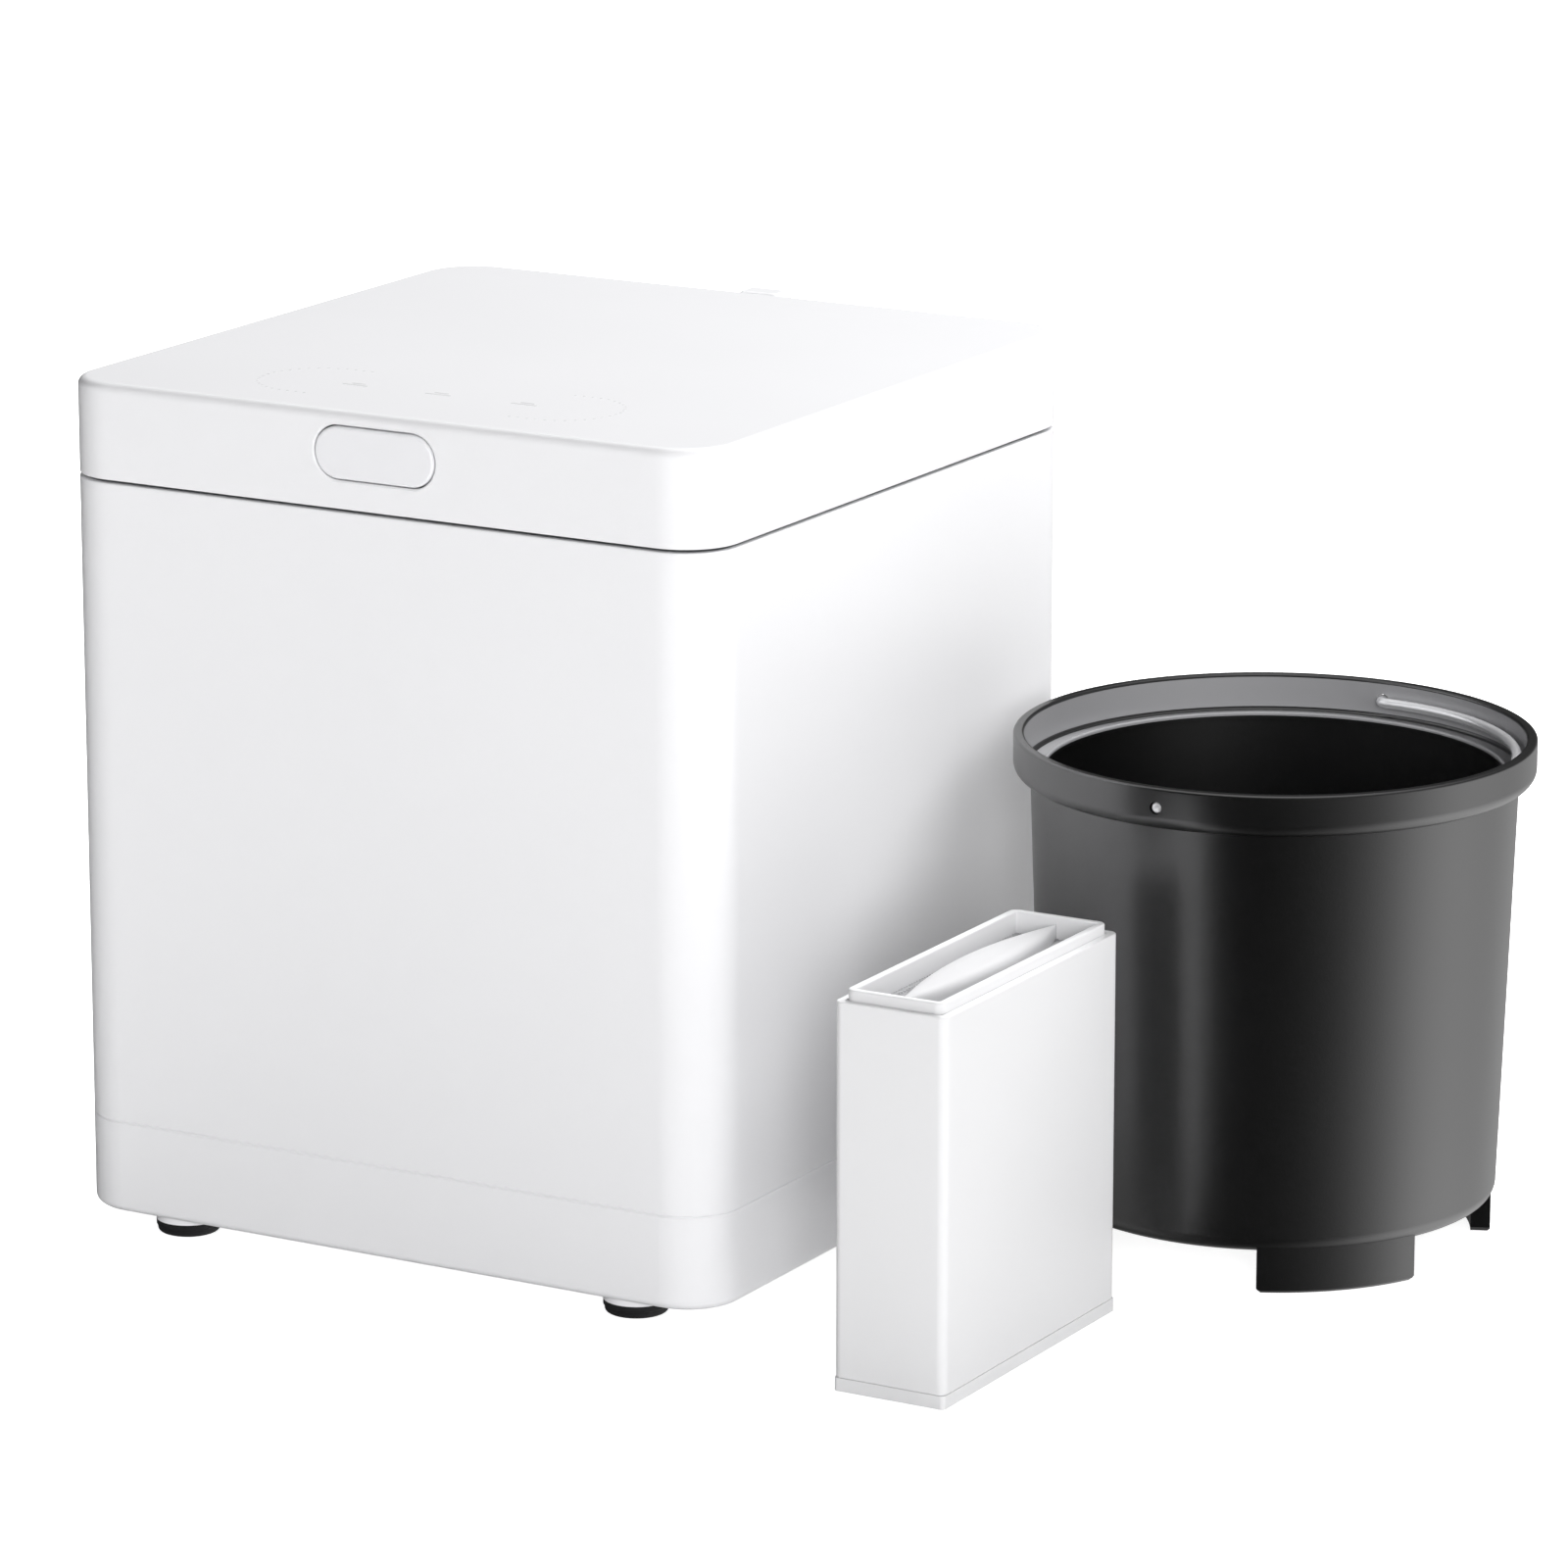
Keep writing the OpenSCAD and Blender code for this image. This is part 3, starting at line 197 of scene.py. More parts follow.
def chain(*parts):
    """One profile from points and arcs in order, with points that repeat left out."""
    points = np.vstack([np.atleast_2d(np.asarray(p, float)) for p in parts])
    step = np.linalg.norm(np.diff(points, axis=0), axis=1)
    return points[np.concatenate([[True], step > 1e-7])]


def supported(profile, closed=False):
    """The profile with a point close to each end of every long straight piece, so that flat faces
    are shaded flat."""
    ends = np.roll(profile, -1, axis=0) if closed else profile[1:]
    out = []
    for start, end in zip(profile, ends):
        out.append(start)
        length = np.linalg.norm(end - start)
        if length > 6 * SUPPORT:
            near = (end - start) * SUPPORT / length
            out += [start + near, end - near]
    if not closed:
        out.append(profile[-1])
    return np.array(out)


def round_rect(width, depth, radius, steps=ARC_STEPS):
    """Corner centres and outward normals round a rounded rectangle: a point at offset s is
    centre + (radius - s) * normal. Two more points sit just past both ends of each arc."""
    centres, normals = [], []
    for k, (sx, sy) in enumerate([(1, 1), (-1, 1), (-1, -1), (1, -1)]):
        t = np.radians(np.linspace(k * 90, k * 90 + 90, steps + 1))
        c = np.array([sx * (width / 2 - radius), sy * (depth / 2 - radius)])
        n = np.column_stack([np.cos(t), np.sin(t)])
        sides = [depth, width] if k % 2 == 0 else [width, depth]
        near = [min(SUPPORT, (side / 2 - radius) / 3) for side in sides]
        along = np.array([[-n[0, 1], n[0, 0]], [-n[-1, 1], n[-1, 0]]])
        centres += [c - near[0] * along[0], *([c] * (steps + 1)), c + near[1] * along[1]]
        normals += [n[0], *n, n[-1]]
    return np.array(centres), np.array(normals), radius


def stadium(size, steps):
    """Outline like round_rect with round ends."""
    return round_rect(size[0], size[1], size[1] / 2 - HAIR, steps)


def swept(profile, path, at=(0, 0, 0), plane="XY"):
    """Grid of points: each profile point (s, h) goes round the path at offset s and height h."""
    centres, normals, radius = path
    flat = centres[None] + (radius - profile[:, 0])[:, None, None] * normals[None]
    height = np.broadcast_to(profile[:, 1][:, None, None], flat.shape[:2] + (1,))
    grid = np.concatenate([flat, height], axis=2)
    if plane == "XZ":
        grid = np.stack([grid[..., 0], -grid[..., 2], grid[..., 1]], axis=2)
    return grid + np.asarray(at, float)


def turned(profile, at, steps=RING_STEPS):
    """Grid of points: each profile point (r, z) turned about +Z, as (r cos t, r sin t, z)."""
    t = np.radians(np.linspace(0, 360, steps + 1)[:-1])
    x = profile[:, 0][:, None] * np.cos(t)[None]
    y = profile[:, 0][:, None] * np.sin(t)[None]
    z = np.broadcast_to(profile[:, 1][:, None], x.shape)
    return np.stack([x, y, z], axis=2) + np.asarray(at, float)


def tube(line, radius, sides, up=(0, 0, 1.0)):
    """Grid of rings of one radius about a line of points, each ring square to the line."""
    line = np.asarray(line, float)
    tangent = np.gradient(line, axis=0)
    tangent /= np.linalg.norm(tangent, axis=1)[:, None]
    side = np.cross(tangent, up)
    side /= np.linalg.norm(side, axis=1)[:, None]
    lift = np.cross(side, tangent)
    t = np.linspace(0, 2 * np.pi, sides, endpoint=False)
    ring = side[:, None] * np.cos(t)[None, :, None] + lift[:, None] * np.sin(t)[None, :, None]
    return line[:, None] + ring * radius


# Meshes


def grid_faces(rows, cols, close_rows=False):
    """Quads between neighbouring rows of a grid whose columns close on themselves. The rows join
    in a ring too, or else the first and the last one get a flat cap."""
    c = np.arange(cols)[None]
    after = (c + 1) % cols
    row = np.arange(rows if close_rows else rows - 1)[:, None]
    up = (row + 1) % rows * cols
    quads = np.stack([row * cols + c, row * cols + after, up + after, up + c], axis=2)
    faces = [tuple(q) for q in quads.reshape(-1, 4)]
    if not close_rows:
        faces += [tuple(reversed(range(cols))), tuple(range((rows - 1) * cols, rows * cols))]
    return faces


def volume(verts, faces):
    """Signed volume of a closed mesh, from the fans of its faces."""
    total = 0.0
    for size in {len(f) for f in faces}:
        f = np.array([g for g in faces if len(g) == size])
        first = verts[f[:, 0]]
        for k in range(1, size - 1):
            cross = np.cross(verts[f[:, k]], verts[f[:, k + 1]])
            total += np.einsum("ij,ij->", first, cross) / 6
    return total


def new_piece(name, verts, faces, smooth_angle=SMOOTH_ANGLE):
    """A mesh object at the origin, with faces outwards and edges past the angle kept sharp."""
    if volume(verts, faces) < 0:
        faces = [tuple(reversed(f)) for f in faces]
    mesh = bpy.data.meshes.new(name)
    mesh.from_pydata(verts.tolist(), [], [tuple(int(i) for i in f) for f in faces])
    mesh.validate()
    piece = bpy.data.objects.new(name, mesh)
    bpy.context.scene.collection.objects.link(piece)
    soften(piece, smooth_angle)
    return piece


def soften(piece, angle):
    """Smooth shading with sharp edges past the angle, in degrees."""
    bpy.ops.object.select_all(action="DESELECT")
    bpy.context.view_layer.objects.active = piece
    piece.select_set(True)
    bpy.ops.object.shade_smooth_by_angle(angle=math.radians(angle))
    piece.select_set(False)


def solid(name, grid, closed_profile=False):
    """A closed piece from one grid."""
    faces = grid_faces(*grid.shape[:2], closed_profile)
    return new_piece(name, grid.reshape(-1, 3), faces)


def many(name, grids):
    """One piece from several capped grids that stand apart, each with its faces outwards."""
    verts, faces, base = [], [], 0
    for grid in grids:
        part = grid_faces(*grid.shape[:2])
        points = grid.reshape(-1, 3)
        if volume(points, part) < 0:
            part = [tuple(reversed(f)) for f in part]
        faces += [tuple(base + i for i in f) for f in part]
        verts.append(points)
        base += len(points)
    return new_piece(name, np.vstack(verts), faces)


def carved(piece, cutters):
    """The piece with the cutters taken out of it, as a plain mesh."""
    for cutter in cutters:
        modifier = piece.modifiers.new(cutter.name, "BOOLEAN")
        modifier.operation = "DIFFERENCE"
        modifier.solver = "EXACT"
        modifier.object = cutter
    graph = bpy.context.evaluated_depsgraph_get()
    mesh = bpy.data.meshes.new_from_object(piece.evaluated_get(graph))
    piece.modifiers.clear()
    piece.data = mesh
    for cutter in cutters:
        bpy.data.objects.remove(cutter)
    soften(piece, SMOOTH_ANGLE)
    return piece


def rod(name, start, end, radius, sides=48):
    """A plain round cutter from start to end."""
    line = np.linspace(start, end, 3)
    along = np.abs(line[-1] - line[0])
    up = (1.0, 0, 0) if along.argmax() == 2 else (0, 0, 1.0)
    return solid(name, tube(line, radius, sides, up))


# Materials


def node_at(tree, kind, **values):
    """A node with its settings and input values."""
    node = tree.nodes.new(kind)
    for key, value in values.items():
        if hasattr(node, key):
            setattr(node, key, value)
        else:
            node.inputs[key].default_value = value
    return node


def worked_out(tree, kind, operation, values):
    """A node of one operation on sockets or plain values, in the order of its inputs."""
    node = node_at(tree, kind, operation=operation)
    for socket, value in zip(node.inputs, values):
        if isinstance(value, bpy.types.NodeSocket):
            tree.links.new(value, socket)
        else:
            socket.default_value = value
    return node


def maths(tree, operation, *values):
    """Result of an operation on numbers."""
    return worked_out(tree, "ShaderNodeMath", operation, values).outputs[0]


def vectors(tree, operation, *values, output="Vector"):
    """Result of an operation on vectors."""
    return worked_out(tree, "ShaderNodeVectorMath", operation, values).outputs[output]


def joined(tree, operation, values):
    """All values joined by one operation, from the first to the last."""
    return reduce(lambda first, second: maths(tree, operation, first, second), values)


def surface_group(name, inputs):
    """A node group with these inputs and the outputs Color, Roughness and Height, with its ends."""
    tree = bpy.data.node_groups.new(name, "ShaderNodeTree")
    for label, kind, value in inputs:
        tree.interface.new_socket(label, in_out="INPUT", socket_type=kind).default_value = value
    for label, kind in (("Color", COLOUR), ("Roughness", NUMBER), ("Height", NUMBER)):
        tree.interface.new_socket(label, in_out="OUTPUT", socket_type=kind)
    return tree, tree.nodes.new("NodeGroupInput").outputs, tree.nodes.new("NodeGroupOutput").inputs


def tone_by(noise, amount, tree, source, sink):
    """Roughness + d and Color * (1 + d), with d = (noise - 0.5) * amount."""
    spread = maths(tree, "MULTIPLY", maths(tree, "SUBTRACT", noise, 0.5), source[amount])
    tree.links.new(maths(tree, "ADD", source["Roughness"], spread), sink["Roughness"])
    shade = worked_out(tree, "ShaderNodeVectorMath", "SCALE", (source["Color"],))
    tree.links.new(maths(tree, "ADD", 1.0, spread), shade.inputs["Scale"])
    tree.links.new(shade.outputs[0], sink["Color"])


def moulded_group():
    """Moulded plastic: height = fine noise * Grain, and slow noise moves roughness and tone."""
    tree, source, sink = surface_group(MOULDED, (
        ("Grain Scale", NUMBER, 2400.0), ("Grain", NUMBER, 0.5), ("Roughness", NUMBER, 0.35),
        ("Cloud", NUMBER, 0.03), ("Color", COLOUR, (0.8, 0.8, 0.8, 1))))
    place = tree.nodes.new("ShaderNodeTexCoord").outputs["Object"]
    grain = node_at(tree, "ShaderNodeTexNoise", Detail=3.0, Roughness=0.6)
    cloud = node_at(tree, "ShaderNodeTexNoise", Scale=9.0, Detail=2.0)
    tree.links.new(place, grain.inputs["Vector"])
    tree.links.new(place, cloud.inputs["Vector"])
    tree.links.new(source["Grain Scale"], grain.inputs["Scale"])
    height = maths(tree, "MULTIPLY", grain.outputs["Fac"], source["Grain"])
    tree.links.new(height, sink["Height"])
    tone_by(cloud.outputs["Fac"], "Cloud", tree, source, sink)


def brushed_group():
    """Brushed or turned metal: noise drawn out along one axis moves roughness, tone and height."""
    tree, source, sink = surface_group(BRUSHED, (
        ("Stretch", VECTOR, (40.0, 40.0, 2500.0)), ("Roughness", NUMBER, 0.3),
        ("Spread", NUMBER, 0.15), ("Color", COLOUR, (0.6, 0.6, 0.62, 1))))
    place = tree.nodes.new("ShaderNodeTexCoord").outputs["Object"]
    lines = node_at(tree, "ShaderNodeTexNoise", Scale=1.0, Detail=4.0)
    tree.links.new(vectors(tree, "MULTIPLY", place, source["Stretch"]), lines.inputs["Vector"])
    tree.links.new(lines.outputs["Fac"], sink["Height"])
    tone_by(lines.outputs["Fac"], "Spread", tree, source, sink)


def finish(name, kind, colour, bump, values, shader=None):
    """A material: one surface group feeds colour, roughness and bump of a Principled shader."""
    material = bpy.data.materials.new(name)
    material.use_nodes = True
    tree = material.node_tree
    principled = tree.nodes["Principled BSDF"]
    group = tree.nodes.new("ShaderNodeGroup")
    group.node_tree = bpy.data.node_groups[kind]
    group.inputs["Color"].default_value = (*colour, 1)
    for key, value in values.items():
        group.inputs[key].default_value = value
    for key, value in (shader or {}).items():
        principled.inputs[key].default_value = value
    lift = node_at(tree, "ShaderNodeBump", Strength=bump, Distance=0.001)
    tree.links.new(group.outputs["Color"], principled.inputs["Base Color"])
    tree.links.new(group.outputs["Roughness"], principled.inputs["Roughness"])
    tree.links.new(group.outputs["Height"], lift.inputs["Height"])
    tree.links.new(lift.outputs["Normal"], principled.inputs["Normal"])
    return material


def paint_collar_light_and_shade(material, painted_reflection, seam):
    """Mixes a painted reflection in grey over the recess of the collar, and painted shade in the
    coat's black in the crease where its wall meets its ledge. Each mask is the product of tests on
    a point's radius R and height Z."""
    tree = material.node_tree
    bucket = settings("composter_bucket")
    low, high = corners("bucket_collar")
    wall = (high[0] - low[0]) / 2 - bucket.rim_wall
    ledge = high[2] - bucket.recess
    place = tree.nodes.new("ShaderNodeTexCoord").outputs["Object"]
    shift = vectors(tree, "SUBTRACT", place, bucket_axis())
    split = tree.nodes.new("ShaderNodeSeparateXYZ")
    tree.links.new(shift, split.inputs[0])
    flat = vectors(tree, "MULTIPLY", shift, (1, 1, 0))
    measure = {"R": vectors(tree, "LENGTH", flat, output="Value"), "Z": split.outputs["Z"]}
    outer = ("R", "LESS_THAN", wall + PAINTED_REFLECTION_INTO_WALL)
    layers = (
        # Painted reflection: grey over the collar's inner wall, short of the rim
        (painted_reflection, (outer, ("Z", "GREATER_THAN", ledge - PAINTED_REFLECTION_UNDER_LEDGE),
                  ("Z", "LESS_THAN", high[2] - PAINTED_REFLECTION_UNDER_RIM))),
        # Painted shade: the coat's black again in the crease where wall meets ledge; seam names
        # this painted shade
        (seam, (("R", "GREATER_THAN", wall - PAINTED_SHADE_INWARD), outer,
                ("Z", "LESS_THAN", ledge + PAINTED_SHADE_UP), ("Z", "GREATER_THAN", ledge - PAINTED_SHADE_DOWN))),
    )
    colour = tree.nodes["Group"].outputs["Color"]
    for shade, tests in layers:
        masks = [maths(tree, test, measure[name], limit) for name, test, limit in tests]
        mix = node_at(tree, "ShaderNodeMix", data_type="RGBA")
        factor, under, over = mix.inputs[0], mix.inputs[6], mix.inputs[7]
        over.default_value = (*shade, 1)
        tree.links.new(joined(tree, "MULTIPLY", masks), factor)
        tree.links.new(colour, under)
        colour = mix.outputs[2]
    tree.links.new(colour, tree.nodes["Principled BSDF"].inputs["Base Color"])


def grained(roughness, cloud, scale):
    """Values of a surface with a full grain."""
    return {"Roughness": roughness, "Cloud": cloud, "Grain": 1.0, "Grain Scale": scale}


def make_materials(look):
    """All finishes by name: those of the record's slots, and four that some pieces wear instead."""
    moulded_group()
    brushed_group()
    white = {"Roughness": 0.32, "Cloud": 0.02, "Grain": 0.5}
    coat_values = {"Roughness": look.bucket_roughness, "Cloud": 0.08, "Grain": 0.8,
                   "Grain Scale": 1400.0}
    coat = (MOULDED, look.bucket_colour, 0.05, coat_values, {"IOR": look.bucket_ior})
    rows = {
        "white_shell": (MOULDED, look.shell_colour, 0.015,
                        {"Roughness": look.shell_roughness, "Cloud": 0.02, "Grain": 0.4}),
        "white_button": (MOULDED, look.button_colour, 0.015,
                         {"Roughness": 0.3, "Cloud": 0.02, "Grain": 0.4}),
        "white_filter": (MOULDED, look.filter_colour, 0.02, white),
        # Painted shade: the cartridge's white made darker on the grip, whose top stands high in the
        # light
        "filter_grip": (MOULDED, look.shaded_grip_colour, 0.02, white),
        # Painted shade: the cartridge's white made grey on the mesh sunk inside the top frame
        "filter_net": (MOULDED, look.shaded_net_colour, 0.02, {**white, "Roughness": 0.5}),
        "grey_plastic": (MOULDED, (0.42, 0.43, 0.45), 0.08, grained(0.5, 0.06, 1500.0)),
        "rubber": (MOULDED, (0.012, 0.012, 0.013), 0.1, grained(0.75, 0.2, 900.0)),
        "seal_rubber": (MOULDED, (0.12, 0.12, 0.13), 0.05, grained(0.6, 0.1, 900.0)),
        "steel": (BRUSHED, (0.62, 0.63, 0.65), 0.05, {"Roughness": 0.32, "Spread": 0.25}, METAL),
        "liner_steel": (BRUSHED, (0.6, 0.6, 0.62), 0.05, {"Roughness": 0.3, "Spread": 0.3}, METAL),
        "cast_alloy": (MOULDED, (0.55, 0.56, 0.57), 0.25, grained(0.48, 0.2, 500.0), METAL),
        "element": (BRUSHED, (0.2, 0.17, 0.15), 0.05, {"Roughness": 0.45, "Spread": 0.3}, METAL),
        "sensor": (MOULDED, (0.7, 0.67, 0.58), 0.05, {"Roughness": 0.5}),
        "felt": (MOULDED, (0.75, 0.72, 0.6), 0.6, grained(0.95, 0.3, 700.0)),
        "bronze": (BRUSHED, (0.55, 0.38, 0.17), 0.1, {"Roughness": 0.45, "Spread": 0.3}, METAL),
        "motor_black": (MOULDED, (0.02, 0.02, 0.022), 0.05, {"Roughness": 0.35}),
        "board": (MOULDED, (0.02, 0.14, 0.06), 0.05, {"Roughness": 0.3, "Cloud": 0.3}),
        "dark_plastic": (MOULDED, (0.02, 0.02, 0.022), 0.05, {"Roughness": 0.5, "Cloud": 0.2}),
        "gear_steel": (MOULDED, (0.42, 0.42, 0.44), 0.08, grained(0.42, 0.15, 900.0), METAL),
        "bucket_coat": coat,
        "wire": (BRUSHED, (0.86, 0.86, 0.88), 0.01, {"Roughness": 0.24, "Spread": 0.1},
                 {"Metallic": 0.6}),
        "carbon": (MOULDED, (0.01, 0.01, 0.01), 1.0, grained(0.8, 0.3, 350.0)),
        "marks": (MOULDED, look.mark_colour, 0.01, {"Roughness": 0.5}),
        # The coat again, for the collar, which gets a painted reflection and painted shade over it
        "collar_coat": coat,
    }
    made = {name: finish(name, *row) for name, row in rows.items()}
    # Painted reflection in grey on the collar's inner wall, and painted shade in the coat's black
    # in its crease
    paint_collar_light_and_shade(made["collar_coat"], look.painted_reflection_colour, look.bucket_colour)
    return made


def dress(piece, slot, body, *nodes, material=None):
    """Puts the finish on a piece, lets it ride on its body and stand for its nodes."""
    piece.data.materials.clear()
    piece.data.materials.append(bpy.data.materials[material or slot])
    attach(piece, body)
    if nodes:
        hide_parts(*nodes)
    return piece


# Settings


def length(name, description, value):
    """A length in metres."""
    return FloatProperty(name=name, description=description, default=value, unit="LENGTH")


def tint(name, description, value):
    """A colour."""
    return FloatVectorProperty(name=name, description=description, default=value, subtype="COLOR")


def watts(name, description, value):
    """Power of a lamp."""
    return FloatProperty(name=name, description=description, default=value, min=0, unit="POWER")


def strength(name, description, value):
    """Brightness of a part of the sky or of the floor, with 1 for white."""
    return FloatProperty(name=name, description=description, default=value, min=0)


def share(name, description, value):
    """A roughness from 0 to 1."""
    return FloatProperty(name=name, description=description, default=value, min=0, max=1,
                         subtype="FACTOR")


class ComposterHousing(bpy.types.PropertyGroup):
    corner_radius: length("Corner radius", "Radius of the upright corners", 0.0215)
    edge_round: length("Edge rounding", "Rounding of the lid's top edge", 0.0035)
    seam_round: length("Seam rounding", "Rounding of the edges at lid line and base seam", 0.0006)
    wall: length("Wall", "Thickness of the moulded walls", 0.003)
    dots: IntProperty(name="Dots", description="Dots round the touch area, before those along its "
                      "long sides are left out", default=96, min=20, max=200, subtype="UNSIGNED")


class ComposterBucket(bpy.types.PropertyGroup):
    pot_wall: length("Pot wall", "Wall of the pot", 0.002)
    foot_round: length("Foot rounding", "Rounding of the pot's foot", 0.006)
    recess: length("Recess", "Depth of the recess inside the collar", 0.014)
    rim_wall: length("Rim wall", "Wall of the collar", 0.004)
    wire: length("Wire", "Diameter of the bail wire", 0.004)


class ComposterFilter(bpy.types.PropertyGroup):
    edge: length("Edge", "Radius of the case's upright edges", 0.0018)
    frame_wall: length("Frame wall", "Wall of the top frame", 0.0028)
    ridge: length("Ridge pitch", "Pitch of the herringbone ridges of the mesh", 0.0019)


class ComposterFinish(bpy.types.PropertyGroup):
    shell_colour: tint("Shell", "White of the shell, base and lid", (0.82, 0.82, 0.835))
    button_colour: tint("Button", "White of the lid's button", (0.8, 0.8, 0.82))
    filter_colour: tint("Filter", "White of the cartridge", (0.74, 0.74, 0.75))
    # Painted shade: the grip wears the cartridge's white made darker
    shaded_grip_colour: tint("Grip", "White of the cartridge's grip", (0.6, 0.6, 0.61))
    # Painted shade: the mesh wears the cartridge's white made grey, for its place deep inside the
    # frame
    shaded_net_colour: tint("Net", "Grey of the cartridge's mesh", (0.4, 0.4, 0.41))
    bucket_colour: tint("Bucket", "Black of the bucket's coating", (0.003, 0.003, 0.0032))
    # Grey of a painted reflection on the collar's inner wall, over the black coat
    painted_reflection_colour: tint("Painted reflection", "Grey of the recess inside the collar", (0.3, 0.3, 0.31))
    mark_colour: tint("Marks", "Grey of the touch marks", (0.58, 0.58, 0.59))
    bucket_ior: FloatProperty(name="Bucket IOR", description="Index of refraction of the coating",
                              default=2.2, min=1, max=3)
    shell_roughness: share("Shell roughness", "Roughness of the shell's white", 0.28)
    bucket_roughness: share("Bucket roughness", "Roughness of the bucket's coating", 0.3)


class ComposterStage(bpy.types.PropertyGroup):
    camera_at: FloatVectorProperty(name="Camera", description="Place of the camera", subtype="XYZ",
                                   default=(1.36546, -2.41746, 0.87634), unit="LENGTH")
    azimuth: FloatProperty(name="Azimuth", description="Camera turn about Z",
                           default=math.radians(29.813), subtype="ANGLE")
    elevation: FloatProperty(name="Elevation", description="Camera height angle",
                             default=math.radians(14.249), subtype="ANGLE")
    lens: FloatProperty(name="Lens", description="Focal length in millimetres", default=174.96,
                        unit="CAMERA")
    front_box: watts("Front box", "Soft box behind the camera", 226.0)
    back_box: watts("Back box", "Soft box high behind", 560.0)
    near_box: watts("Near box", "Lamp over the bucket and cartridge", 2.4)
    right_light: strength("Right light", "Light of the sky from the front right", 2.5)
    right_shine: strength("Right shine", "Reflected brightness of the right side", 1.45)
    far_shine: strength("Far shine", "Reflected brightness of the far side", 1.0)
    left_shine: strength("Left shine", "Reflected brightness of the left side", 0.35)
    top_shine: strength("Top shine", "Reflected brightness from above", 1.0)
    floor_glow: strength("Floor glow", "Light that the floor adds for the camera", 0.85)


def settings(name):
    """One of the scene's property groups."""
    return getattr(bpy.context.scene, name)


class PieceOperator:
    """Shared by the operators: build() makes the pieces, and any fault raises an error."""
    bl_options = {"REGISTER", "UNDO"}

    def execute(self, context):
        self.build()
        return {"FINISHED"}


# Machine


def housing_path():
    """Outline of the machine from the box of the outer shell, with its place on the floor."""
    low, high = corners("outer_shell")
    size, centre = high - low, (low + high) / 2
    path = round_rect(size[0], size[1], settings("composter_housing").corner_radius)
    return path, (centre[0], centre[1], 0)


class COMPOSTER_OT_finishes(PieceOperator, bpy.types.Operator):
    """Makes the finishes and puts them on every node of the frame, in place of the plain ones"""
    bl_idname = "composter.finishes"
    bl_label = "Finishes"

    def build(self):
        for plain in list(bpy.data.materials):
            bpy.data.materials.remove(plain)
        made = make_materials(settings("composter_finish"))
        for part in frame["record"]["subparts"]:
            mesh = frame["nodes"][part["node"]].data
            mesh.materials.clear()
            mesh.materials.append(made[part["material_slot"]])


class COMPOSTER_OT_outer_shell(PieceOperator, bpy.types.Operator):
    """Outer shell: a walled profile carried round the outline, with the exhaust opening cut"""
    bl_idname = "composter.outer_shell"
    bl_label = "Outer Shell"

    def build(self):
        house = settings("composter_housing")
        path, at = housing_path()
        low, high = corners("outer_shell")
        t, f = house.wall, house.seam_round
        profile = chain(
            arc((f, low[2] + f), f, 270, 180, 4), arc((f, high[2] - f), f, 180, 90, 4),
            arc((t - f, high[2] - f), f, 90, 0, 4), arc((t - f, low[2] + f), f, 0, -90, 4))
        grid = swept(supported(profile, closed=True), path, at)
        shell = solid("shell_skin", grid, closed_profile=True)
        fan = middle("exhaust_grille")
        hole = np.array([fan[0], high[1] - t / 2, fan[2]])
        reach = np.array([0, CUT_REACH, 0])
        half = corners("fan_frame")[1][0] - fan[0]
        cutters = [rod("cut_exhaust", hole - reach, hole + reach, half - FAN_RIM, 96)]
        pitch = half * FAN_SCREW_PITCH
        for sx, sz in ((-1, -1), (-1, 1), (1, -1), (1, 1)):
            spot = hole + np.array([sx * pitch, 0, sz * pitch])
            cutters.append(rod(f"cut_screw_{sx}_{sz}", spot - reach, spot + reach, FAN_SCREW_HOLE))
        dress(carved(shell, cutters), "white_shell", "housing", "outer_shell")


